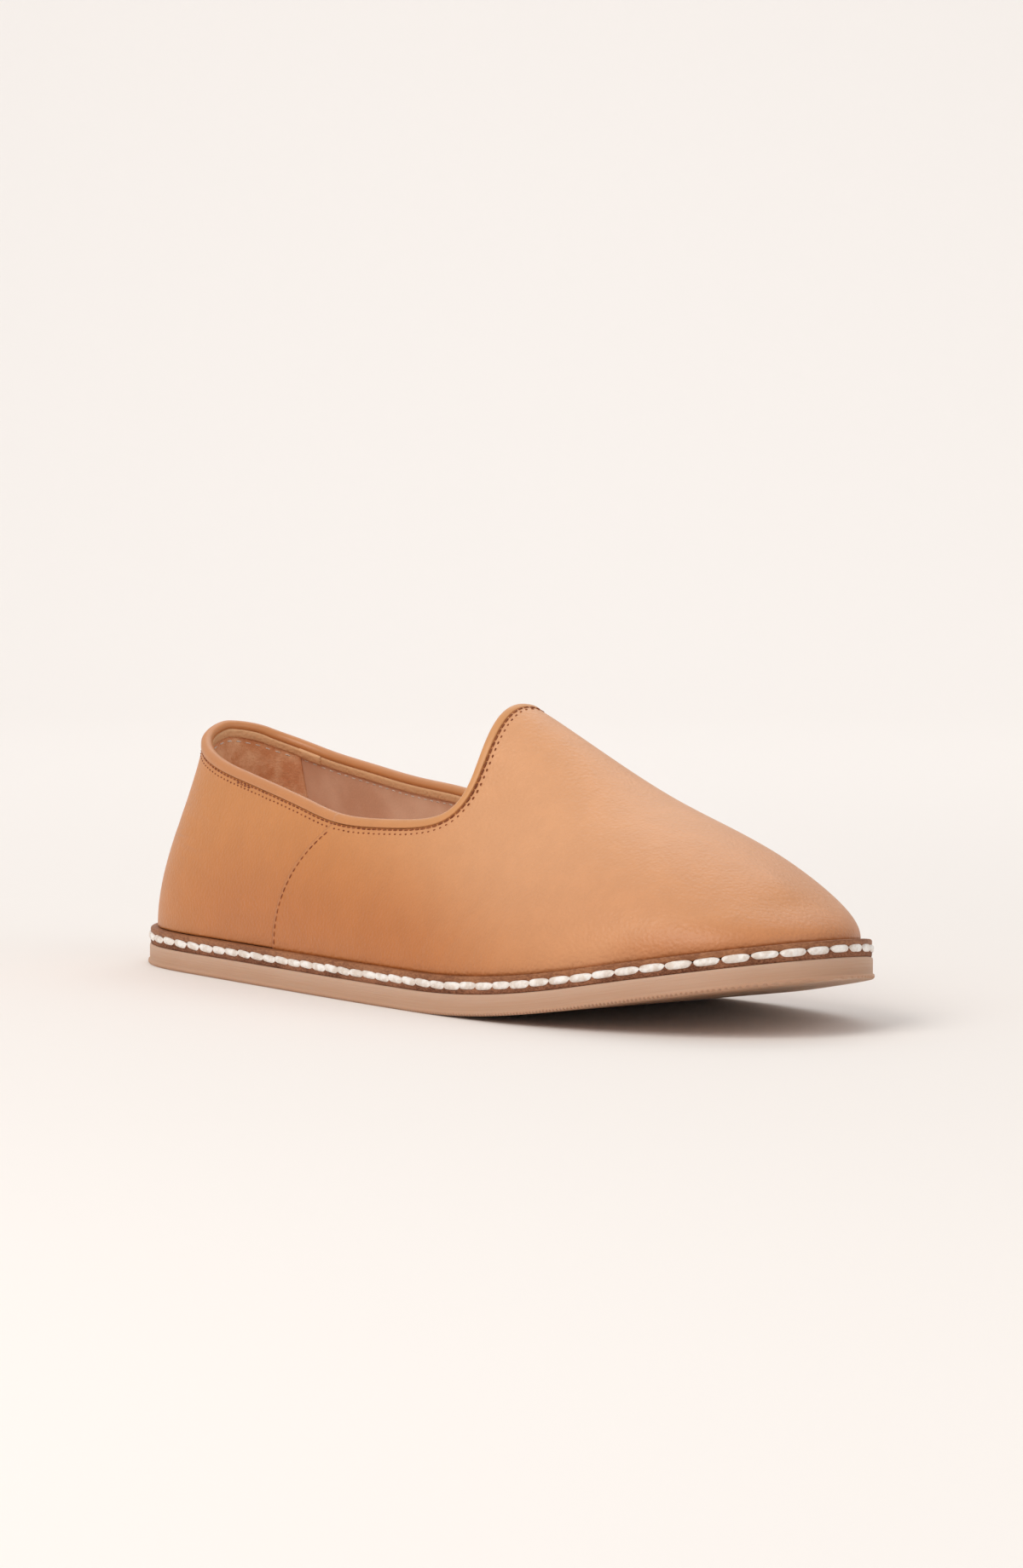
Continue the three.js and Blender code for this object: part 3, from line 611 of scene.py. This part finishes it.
# The topline as a closed path over the wall's outer face: outer side, instep, inner side.
# Its side points to the opening.
def toplinePath(count):
    row = evenRows(0, lastRow, count)
    points, normals, rows = [], [], []
    for side, order in (("outer", slice(None)), ("inner", slice(-2, 0, -1))):
        turn, up = edgeAt(side, row[order])
        normal = lastNormal(side, turn, up)
        lap = slipper["lapStep"] * fade(row[order], slipper["seamRow"] - 0.04, slipper["seamRow"] + 0.04)
        points.append(lastPoint(side, turn, up) + normal * lap[:, None])
        normals.append(normal)
        rows.append(np.stack([lap, row[order] if side == "outer" else 2 * lastRow - row[order]], -1))
    path = makePath(np.concatenate(points), np.concatenate(normals))
    path["lap"], path["row"] = np.append(np.concatenate(rows), [[0, 2 * lastRow]], 0).T
    return path


collar = toplinePath(420)
collarLength = collar["length"][-1]

# Collar binding
binding = {
    "overhang": 0.5, "steps": 900, "sides": 44, "stripSides": 30, "tabSides": 28, "flatFrom": 9.6,
    "tabRows": (2.1, 2.65), "stripColour": "#dfae80",
    # cross-section: the face a point starts at (1 outer, -1 inner face of the bead), mm across, mm high
    "profile": [(1, -0.30, 0.12), (1, 0.02, 0.55), (1, 0.12, 1.30), (1, -0.12, 2.15), (1, -0.72, 2.80),
                (0, 0.0, 3.0), (-1, 0.62, 2.80), (-1, 0.06, 2.20), (-1, -0.10, 1.60), (-1, 0.05, 1.05),
                (-1, 0.45, 0.75), (-1, 0.8, 0.3), (0, 0.0, 0.2)],
    "strip": [(-1, 0.35, 1.0), (-1, 0.02, 0.92), (-1, -0.22, 0.6), (-1, -0.30, 0.0), (-1, -0.30, -0.8),
              (-1, -0.16, -1.35), (-1, 0.12, -1.5), (-1, 0.42, -1.2), (-1, 0.5, -0.4), (-1, 0.5, 0.5)],
    "tab": [(-1, 0.05, 1.25), (-1, -0.45, 1.0), (-1, -0.66, 0.4), (-1, -0.68, -0.5), (-1, -0.55, -1.3),
            (-1, -0.2, -1.6), (-1, 0.1, -1.0), (-1, 0.1, 0.6)],
}


# A profile swept along the collar: each of its points lies across the wall and up out of its cut edge.
# A closed natural cubic through the profile's points rounds it.
def sweepCollar(profile, s, sides, ends=False):
    control = np.array(profile)
    count, wrap = len(control), 4
    index = np.arange(-wrap, count + wrap)
    around = np.linspace(0, count, sides, endpoint=False)
    share, across, height = [smooth(index, control[index % count, k])(around) for k in range(3)]
    point, normal, up = alongPath(collar, s)
    lap = np.interp(np.mod(s, collarLength), collar["length"], collar["lap"])
    row = np.interp(np.mod(s, collarLength), collar["length"], collar["row"])
    flat = fade(lastRow - np.abs(row - lastRow), binding["flatFrom"], lastRow)
    half = (slipper["wall"] + lap) / 2 + binding["overhang"] * (1 - flat)
    middle = point - normal * (slipper["wall"] + lap)[:, None] / 2
    grid = (middle[:, None] + normal[:, None] * (share * half[:, None] + across)[..., None]
            + up[:, None] * height[:, None])
    if ends:  # drawn together at both ends, so that they close
        core = grid.mean(1, keepdims=True)
        pinch = np.minimum(1, np.linspace(0, 1, len(s)) * np.linspace(1, 0, len(s)) * 30)[:, None, None]
        grid = core + (grid - core) * np.sqrt(pinch)
    index = np.arange(grid.shape[0] * sides).reshape(grid.shape[0], sides)
    if ends:
        index[0], index[-1] = index[0, 0], index[-1, 0]
    return grid.reshape(-1, 3), gridFaces(index, closeColumns=not ends, closeRows=True)


s = np.linspace(0, collarLength, binding["steps"], endpoint=False)
bead = sweepCollar(binding["profile"], s, binding["sides"])
collarBinding = addPiece("rolled_binding", *bead, calfBinding, "binding_leather")
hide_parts("collar_binding")
oneColour = dict.fromkeys(("pale", "tan", "deepAndShaded"), binding["stripColour"])
stripLeather = calfMaterial("paleCalfStrip", {**calf, **oneColour, "roughness": 0.7}, wrinkled=False)
strip = sweepCollar(binding["strip"], s, binding["stripSides"])
addPiece("folded_strip", *strip, stripLeather, "binding_leather")
s = np.interp(2 * lastRow - np.linspace(*binding["tabRows"][::-1], 40), collar["row"], collar["length"])
tab = sweepCollar(binding["tab"], s, binding["tabSides"], ends=True)
addPiece("binding_tab", *tab, stripLeather, "binding_leather")
print("binding done")


# Threads
# Bonded polyester thread, dark brown, twisted; and thick waxed linen thread, off-white and slightly soiled.
threads = {
    "brown": "#7c3c1f", "brownLight": "#9c5b36", "white": "#f8f3ee", "soiled": "#e0d3c8",
    "cotton": "#efe6da", "cottonDark": "#d8cabb", "waxRoughness": 0.55,
}


def threadMaterial(name, dark, light, roughness, twistMm, soft=0.0):
    material, tree = newMaterial(name)
    place = add(tree, "ShaderNodeTexCoord").outputs["Object"]
    cloud = add(tree, "ShaderNodeTexNoise", {"Vector": place, "Scale": 420.0, "Detail": 3.0})
    turns = {"Vector": add(tree, "ShaderNodeUVMap").outputs[0], "Scale": 31.8 / twistMm, "Distortion": 1.5}
    twist = add(tree, "ShaderNodeTexWave", turns, bands_direction="DIAGONAL")
    base = mixColour(tree, mapRange(tree, cloud.outputs[0], 0.35, 0.65), colour(dark), colour(light))
    yarn = {"Base Color": base, "Roughness": roughness, "Specular IOR Level": 0.3, "Subsurface Weight": soft,
            "Subsurface Radius": (0.3, 0.25, 0.2), "Subsurface Scale": 0.001}
    finishMaterial(tree, yarn, twist.outputs[0], 0.35, 0.0003)
    return material


brownThread = threadMaterial("brownPolyesterThread", threads["brown"], threads["brownLight"], 0.6, 0.4)
whiteThread = threadMaterial("waxedLinenThread", threads["soiled"], threads["white"],
                             threads["waxRoughness"], 1.1, 0.1)
fineWhiteThread = threadMaterial("paleCottonThread", threads["cottonDark"], threads["cotton"], 0.7, 0.4)


# Stitches on a path, one at each start: a flattened thread of this length, width and height whose ends dip.
# y = width/2 * taper * cos, z = height * taper * sin - dip * |x|^4, and slant tips it across the path.
def stitches(path, starts, length, width, height, dip, slant=0.0, square=2.6, along=11, around=8, wander=0.0,
             seed=3):
    random = np.random.default_rng(seed)
    x = np.sin(np.linspace(-math.pi / 2, math.pi / 2, along))
    taper = np.clip(1 - np.abs(x) ** square, 0, 1) ** 0.5
    angle = np.arange(around) / around * 2 * math.pi
    count = len(starts)
    tip = slant * (1 + 0.3 * random.standard_normal(count))
    long = length * (1 + wander * random.uniform(-1, 1, count))
    shift = wander * width * random.uniform(-1, 1, count)
    s = starts[:, None] + x[None] * long[:, None] / 2
    point, normal, side = alongPath(path, s)
    fat = 1 + wander * random.uniform(-1, 1, count)
    y = (width / 2 * fat)[:, None, None] * taper[None, :, None] * np.cos(angle) \
        + (shift[:, None] + tip[:, None] * x * length / 2)[..., None]
    z = height * taper[None, :, None] * np.sin(angle) - dip * np.abs(x)[None, :, None] ** 4 + np.zeros_like(y)
    grid = point[:, :, None] + side[:, :, None] * y[..., None] + normal[:, :, None] * z[..., None]
    index = np.arange(along * around).reshape(along, around)
    index[0], index[-1] = index[0, 0], index[-1, 0]
    faces = gridFaces(index, closeRows=True)
    alongUv, aroundUv = np.meshgrid(x * length / 2, np.arange(around + 1) / around * width * 3, indexing="ij")
    uv = cornersOf(np.stack([alongUv, aroundUv], -1))
    allFaces = (faces[None] + np.arange(count)[:, None, None] * along * around).reshape(-1, 4)
    return grid.reshape(-1, 3), allFaces, np.tile(uv, (count, 1, 1))


def joinPieces(name, parts, material, slotName):
    points = np.concatenate([part[0] for part in parts])
    start = np.cumsum([0] + [len(part[0]) for part in parts[:-1]])
    faces = np.concatenate([part[1] + k for part, k in zip(parts, start)])
    uv = np.concatenate([part[2] for part in parts])
    if volumeOf(points - points.mean(0), faces) < 0:
        faces, uv = faces[:, ::-1], uv[:, ::-1]
    return addPiece(name, points, faces, material, slotName, uv=uv, closed=False)


seams = {
    "pitch": 2.1, "bindingLine": 0.4, "secondLine": 1.6, "seamInset": 1.3, "doubleRow": 3.35,
    "doubleInset": 0.5, "doubleCount": 4, "lift": 0.04, "liningLine": 2.7, "liningPitch": 3.0,
    "thread": {"length": 1.85, "width": 0.46, "height": 0.22, "dip": 0.2, "along": 7, "around": 6},
}
bindingStarts = np.arange(0, collarLength, seams["pitch"])
bindingLine = shiftPath(collar, -seams["bindingLine"], seams["lift"])
bindingSeam = stitches(bindingLine, bindingStarts, wander=0.06, **seams["thread"])
secondSeam = stitches(shiftPath(collar, -seams["secondLine"], 0.0), bindingStarts + 0.9, seed=4, wander=0.1,
                      **{**seams["thread"], "length": 0.95, "width": 0.46})


# a seam up one side along a row's column, lying so far out of the last's face and moved forward by so much
def seamPath(side, rowNumber, forward, out):
    turn, up = edgeAt(side, rowNumber)
    foot = footTurn(rowNumber)
    part = np.linspace(0.03, 0.985, 120)
    turns, ups = foot + (turn - foot) * part ** slipper["columnBow"], up * part
    normal = lastNormal(side, turns, ups)
    path = makePath(lastPoint(side, turns, ups) + normal * out, normal, closed=False)
    return shiftPath(path, -forward if side == "outer" else forward)


sideSeams = []
for side in ("outer", "inner"):
    path = seamPath(side, slipper["seamRow"], seams["seamInset"], slipper["lapStep"])
    starts = np.arange(1, path["length"][-1] - 1, seams["pitch"])
    sideSeams.append(stitches(path, starts, wander=0.08, **seams["thread"]))
# where the binding's stitching starts and ends, it is sewn twice over a few stitches
doubleStart = np.interp(seams["doubleRow"], collar["row"], collar["length"])
doubleLine = shiftPath(collar, -seams["bindingLine"] - seams["doubleInset"], seams["lift"])
doubleStarts = doubleStart + np.arange(seams["doubleCount"]) * seams["pitch"]
doubleSeam = stitches(doubleLine, doubleStarts, slant=0.12, **seams["thread"])
allBrown = [bindingSeam, secondSeam, doubleSeam, *sideSeams]
joinPieces("brown_seams", allBrown, brownThread, "upper_leather")
print("seams done")


# Sole

# A closed body round the outline: rows of (inset, level) at each turn of the outline, and flat strips from
# side to side that close it above and below. Ribs lift the lowest rows by a height that depends on x.
def ringBody(turns, profile, ribs=None, ribRows=0):
    around = np.concatenate([turns, 2 - turns[-2:0:-1]])
    point, out = outlineAt(around)
    inset, level = np.array(profile).T
    plan = point[:, None] - out[:, None] * inset[None, :, None]
    z = level + spring(plan[..., 0])
    if ribRows:
        z[:, :ribRows] += ribs(point[:, 0])[:, None]
    count, rows = z.shape
    index = np.arange(count * rows).reshape(count, rows)
    wall = gridFaces(index, closeColumns=True)
    i = np.arange(count // 2)
    strip = np.stack([i, i + 1, (count - i - 1) % count, (count - i) % count], -1)
    faces = np.concatenate([wall, index[:, -1][strip], index[:, 0][strip][:, ::-1]])
    length = lengthsOf(np.append(point, point[:1], 0))
    height = lengthsOf(np.array(profile))
    u, v = np.meshgrid(length, height, indexing="ij")
    uvWall = cornersOf(np.stack([u, v], -1))
    caps = plan.reshape(-1, 2)[faces[len(wall):]]
    flat = np.concatenate([np.tile(np.arange(rows - 1) < ribRows, count), np.ones(2 * len(strip), bool)])
    points = np.concatenate([plan, z[..., None]], -1).reshape(-1, 3)
    return points, faces, np.concatenate([uvWall, caps]), flat


# Leather of the edge: vegetable-tanned sole bend, its cut edge fibrous and speckled under the stitches and
# burnished smooth over them.
edge = {
    "turns": 521,
    "welt": [(1.4, 8.32), (1.0, 8.45), (0.78, 8.8), (0.70, 9.1), (0.70, 9.7), (0.80, 10.0), (1.05, 10.18),
             (2.0, 10.2), (5.0, 10.2)],
    "midsole": [(1.05, 5.62), (0.80, 5.8), (0.70, 6.3), (0.70, 7.0), (0.78, 7.5), (1.0, 7.85), (1.4, 7.98)],
    "weltColour": "#a8714c", "weltDark": "#7c4a2d", "fibreLight": "#a46e50", "fibreDark": "#572d19",
}


def fibreMaterial(name, dark, light, speck, bumpStrength, roughness):
    material, tree = newMaterial(name)
    place = add(tree, "ShaderNodeTexCoord").outputs["Object"]
    flat = add(tree, "ShaderNodeMapping", {"Vector": place, "Scale": (1.0, 1.0, 2.6)}).outputs[0]
    specks = {"Vector": flat, "Scale": 1500.0 * speck, "Detail": 4.0, "Roughness": 0.7}
    fibre = add(tree, "ShaderNodeTexNoise", specks)
    cloud = add(tree, "ShaderNodeTexNoise", {"Vector": place, "Scale": 90.0, "Detail": 3.0})
    clouded = calc(tree, "MULTIPLY", cloud.outputs[0], 0.35)
    mixed = calc(tree, "ADD", calc(tree, "MULTIPLY", fibre.outputs[0], 0.65), clouded)
    base = mixColour(tree, mapRange(tree, mixed, 0.36, 0.64), colour(dark), colour(light))
    raw = {"Base Color": base, "Roughness": roughness, "Specular IOR Level": 0.3}
    finishMaterial(tree, raw, fibre.outputs[0], bumpStrength, 0.0003)
    return material


weltLeather = fibreMaterial("burnishedSoleLeather", edge["weltDark"], edge["weltColour"], 0.6, 0.2, 0.55)
fibreLeather = fibreMaterial("rawSoleLeatherEdge", edge["fibreDark"], edge["fibreLight"], 1.0, 0.5, 0.85)
evenTurns = np.linspace(0, 1, edge["turns"])
points, faces, uv, flat = ringBody(evenTurns, edge["welt"])
welt = addPiece("burnished_welt", points, faces, weltLeather, "edge_leather", uv=uv, flat=flat)
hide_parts("welt")
points, faces, uv, flat = ringBody(evenTurns, edge["midsole"])
midsole = addPiece("fibrous_midsole", points, faces, fibreLeather, "edge_leather", uv=uv, flat=flat)
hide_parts("midsole")
print("leather edge done")

# Rubber: translucent crepe-like sole, its side drawn with fine level lines by the cutter, its tread ribbed
rubber = {
    "profile": [(0.35, 0.0), (0.0, 0.35), (0.0, 0.9), (0.1, 1.15), (0.45, 1.4), (0.45, 4.9), (0.55, 5.35),
                (0.85, 5.6)],
    "ribPitch": 1.12, "ribDepth": 0.32, "ribCorners": (0.0, 0.32, 0.55, 0.82),
    "endTurns": 24, "endShare": 0.08, "low": "#b98e71", "high": "#c5a28a", "roughness": 0.6,
}


# rib height at x: low in the groove and high on the land, from corner to corner of each pitch
def ribHeight(x):
    a, b, c, d = rubber["ribCorners"]
    place = np.mod(x / rubber["ribPitch"], 1)
    return rubber["ribDepth"] * np.interp(place, [a, b, c, d, 1], [0, 0, 1, 1, 0])


def rubberMaterial():
    material, tree = newMaterial("translucentCrepeRubber")
    place = add(tree, "ShaderNodeTexCoord").outputs["Object"]
    uvPlace = add(tree, "ShaderNodeUVMap").outputs[0]
    lines = add(tree, "ShaderNodeMapping", {"Vector": uvPlace, "Scale": (0.35, 30.0, 1.0)}).outputs[0]
    line = add(tree, "ShaderNodeTexNoise", {"Vector": lines, "Scale": 10.0, "Detail": 3.0, "Roughness": 0.7},
               noise_dimensions="2D").outputs[0]
    cloud = add(tree, "ShaderNodeTexNoise", {"Vector": place, "Scale": 70.0, "Detail": 4.0}).outputs[0]
    v = add(tree, "ShaderNodeSeparateXYZ", {0: uvPlace}).outputs[1]
    rise = calc(tree, "MULTIPLY", mapRange(tree, v, 0.02, 0.075), 0.55)
    marks = calc(tree, "ADD", calc(tree, "MULTIPLY", cloud, 0.15), calc(tree, "MULTIPLY", line, 0.5))
    mixed = mapRange(tree, calc(tree, "ADD", rise, marks), 0.15, 0.85)
    base = mixColour(tree, mixed, colour(rubber["low"]), colour(rubber["high"]))
    matte = {"Base Color": base, "Roughness": rubber["roughness"], "IOR": 1.5, "Subsurface Weight": 0.25,
             "Subsurface Radius": (1.0, 0.55, 0.3), "Subsurface Scale": 0.0015}
    finishMaterial(tree, matte, line, 0.3, 0.0002)
    return material


pitches = np.arange(0, slipper["length"], rubber["ribPitch"])
corners = pitches[:, None] + np.array(rubber["ribCorners"]) * rubber["ribPitch"]
corners = corners[corners < slipper["length"] - 0.1]
heelTurns = np.linspace(0, rubber["endShare"], rubber["endTurns"])
allTurns = np.concatenate([turnAt(corners / slipper["length"]), heelTurns, 1 - heelTurns])
ribTurns = np.unique(np.round(allTurns, 7))
points, faces, uv, flat = ringBody(ribTurns, rubber["profile"], ribHeight, 2)
outsole = addPiece("ribbed_outsole", points, faces, rubberMaterial(), "sole_rubber", uv=uv, flat=flat)
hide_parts("outsole")
print("outsole done")

# Thick stitches round the edge
edgeStitch = {"pitch": 6.9, "inset": 0.85, "level": 7.8, "sway": 0.1,
              "shape": {"length": 7.3, "width": 2.05, "height": 0.75, "dip": 0.45, "along": 19, "around": 14,
                    "wander": 0.05}}
point, out = outlineAt(np.linspace(0, 2, 1440, endpoint=False))
plan = point - out * edgeStitch["inset"]
edgePath = makePath(np.concatenate([plan, (edgeStitch["level"] + spring(plan[:, 0]))[:, None]], 1),
                    np.concatenate([out, np.zeros((len(out), 1))], 1))
edgeLength = edgePath["length"][-1]
edgeCount = round(edgeLength / edgeStitch["pitch"])
even = np.arange(edgeCount) / edgeCount
# hand sewing: closer together along the waist on both sides, wider at the heel
edgeStarts = (even + edgeStitch["sway"] * np.sin(4 * math.pi * even) / (4 * math.pi)) * edgeLength
toHeel = (1 + np.cos(2 * math.pi * even)) / 2
parts = [stitches(edgePath, edgeStarts[near],
                  **{**edgeStitch["shape"], "slant": slant, "square": square, "seed": seed})
         for near, slant, square, seed in (
             (toHeel > 0.6, -0.06, 3.4, 5),
             ((toHeel <= 0.6) & (toHeel > 0.3), -0.05, 3.6, 6),
             (toHeel <= 0.3, 0.0, 4.0, 7))]
joinPieces("edge_stitches", parts, whiteThread, "edge_leather")
print("edge stitches done")

# Stitches of the lining
liningThread = {"length": 2.2, "width": 0.42, "height": 0.22, "dip": 0.3, "along": 7, "around": 6,
                "wander": 0.12}
acrossLining = {**liningThread, "length": 0.9}
inside = np.linspace(0, collarLength, 500, endpoint=False)
point, normal, up = alongPath(collar, inside)
depth = slipper["wall"] + np.interp(inside, collar["length"], collar["lap"])
rowsThere = np.interp(inside, collar["length"], collar["row"])
proud = upper["suedeProud"] * (lastRow - np.abs(rowsThere - lastRow) < upper["liningRow"])
liningPath = makePath(point - up * seams["liningLine"] - normal * (depth + proud - 0.05)[:, None], -normal)
liningStarts = np.arange(0, liningPath["length"][-1] - 3, seams["liningPitch"])
liningSeams = [stitches(liningPath, liningStarts, **liningThread)]
for side in ("outer", "inner"):
    path = seamPath(side, upper["liningRow"], 0.9, -slipper["wall"] + 0.02)
    path = makePath(path["data"][:, :3], -path["data"][:, 3:6], closed=False)
    liningSeams.append(stitches(path, np.arange(5, path["length"][-1] - 2.5, 2.3), **acrossLining))
joinPieces("lining_seams", liningSeams, fineWhiteThread, "lining_leather")
print("lining stitches done")


# Floor, light and camera
studio = {
    "floor": "#f5f1ee", "floorSize": 3.0, "world": "#fffdfb", "worldStrength": 0.55, "turn": 51.12,
    "tilt": 4.20, "roll": 0.18, "distance": 1.62, "focal": 7090.88, "aim": (135.0, 0.0, 20.0),
    "aside": 44.56, "above": 36.23, "pan": 166.0,
    "middle": (0.0, 0.0, 0.03),
}
# each light: its place and its target in metres from the middle, to the camera's right, back and up
lights = [  # name, place, target, size in metres, watts, tint
    ("key", (-0.85, 1.0, 1.1), (0, 0, 0), (1.0, 1.0), 14.0, "#fffaf4"),
    ("fill", (1.2, 1.0, 0.7), (0, 0, 0), (1.2, 1.2), 3.5, "#ffffff"),
    ("rim", (0.2, -1.0, 1.4), (0, 0, 0), (1.2, 0.8), 3.6, "#ffffff"),
    ("backdrop", (0, -0.7, 1.5), (0, -2.0, 0.7), (2.4, 0.8), 7.0, "#ffffff"),
]


# a pale sweep: the floor runs level behind the slipper, then bends up in a quarter circle
def addFloor():
    turn = math.radians(studio["turn"])
    away, aside = np.array([-math.sin(turn), math.cos(turn)]), np.array([math.cos(turn), math.sin(turn)])
    bend = np.linspace(0, math.pi / 2, 40)
    run = np.concatenate([[-2.5], 1.2 + 0.8 * np.sin(bend), [2.0]])
    rise = np.concatenate([[0], 0.8 * (1 - np.cos(bend)), [3.2]])
    wide = np.array([-studio["floorSize"], studio["floorSize"]])
    plan = run[:, None, None] * away + wide[None, :, None] * aside
    levels = np.broadcast_to(rise[:, None, None], plan.shape[:2] + (1,))
    points = np.concatenate([plan, levels], -1).reshape(-1, 3)
    index = np.arange(len(points)).reshape(len(run), 2)
    faces = gridFaces(index)
    corner = points[faces[0]]
    if np.cross(corner[1] - corner[0], corner[2] - corner[0])[2] < 0:
        faces = faces[:, ::-1]
    mesh = bpy.data.meshes.new("studio_sweep")
    mesh.from_pydata(points.tolist(), [], faces.tolist())
    mesh.polygons.foreach_set("use_smooth", np.ones(len(faces), bool))
    material, tree = newMaterial("paperSweep")
    finishMaterial(tree, {"Base Color": colour(studio["floor"]), "Roughness": 0.9, "Specular IOR Level": 0.2})
    mesh.materials.append(material)
    floor = bpy.data.objects.new("studio_sweep", mesh)
    bpy.context.scene.collection.objects.link(floor)


# a light or camera at a place, by the directions of its own right and back
def setUp(thing, right, back, place):
    turned = np.eye(4)
    turned[:3] = np.stack([right, np.cross(back, right), back, place], 1)
    thing.matrix_world = Matrix(turned.tolist())
    bpy.context.scene.collection.objects.link(thing)


# an area light at a place, turned to the slipper
def addLight(name, place, target, size, power, tint):
    light = bpy.data.lights.new(name, "AREA")
    light.shape, light.size, light.size_y = "RECTANGLE", size[0], size[1]
    light.energy, light.color = power, colour(tint)[:3]
    lamp = bpy.data.objects.new(name, light)
    back = np.array(place) - np.array(target)
    back /= np.linalg.norm(back)
    right = np.cross([0, 0, 1], back)
    right /= np.linalg.norm(right)
    setUp(lamp, right, back, place)


# The photo's camera: turned about the slipper, tilted down and rolled, then panned until the slipper is
# in the middle.
def addCamera():
    turn, tilt, roll = (math.radians(studio[name]) for name in ("turn", "tilt", "roll"))
    right = np.array([math.cos(turn), math.sin(turn), 0])
    back = np.array([math.sin(turn) * math.cos(tilt), -math.cos(turn) * math.cos(tilt), math.sin(tilt)])
    up = np.cross(back, right)
    aim = np.array(studio["aim"]) + right * studio["aside"] + up * studio["above"]
    place = toFrame(aim) + back * studio["distance"]
    right, up = right * math.cos(roll) + up * math.sin(roll), up * math.cos(roll) - right * math.sin(roll)
    back = back * studio["focal"] + right * studio["pan"]
    back /= np.linalg.norm(back)
    right -= back * (right @ back)
    right /= np.linalg.norm(right)
    data = bpy.data.cameras.new("photo_camera")
    data.sensor_fit, data.sensor_width = "AUTO", 36.0
    data.lens = 36.0 * studio["focal"] / 1840
    data.clip_start, data.clip_end = 0.05, 20.0
    data.dof.use_dof = False
    camera = bpy.data.objects.new("photo_camera", data)
    setUp(camera, right, back, place)
    bpy.context.scene.camera = camera
    return right, back, up


right, back, up = addCamera()
world = bpy.data.worlds.new("studio_world")
world.use_nodes = True
world.node_tree.nodes["Background"].inputs["Color"].default_value = colour(studio["world"])
world.node_tree.nodes["Background"].inputs["Strength"].default_value = studio["worldStrength"]
bpy.context.scene.world = world
addFloor()
middle = np.array(studio["middle"])
for name, place, target, size, power, tint in lights:
    places = [middle + right * x + back * y + up * z for x, y, z in (place, target)]
    addLight(name, *places, size, power, tint)
bpy.context.scene.view_settings.view_transform = "Standard"
print("studio done")
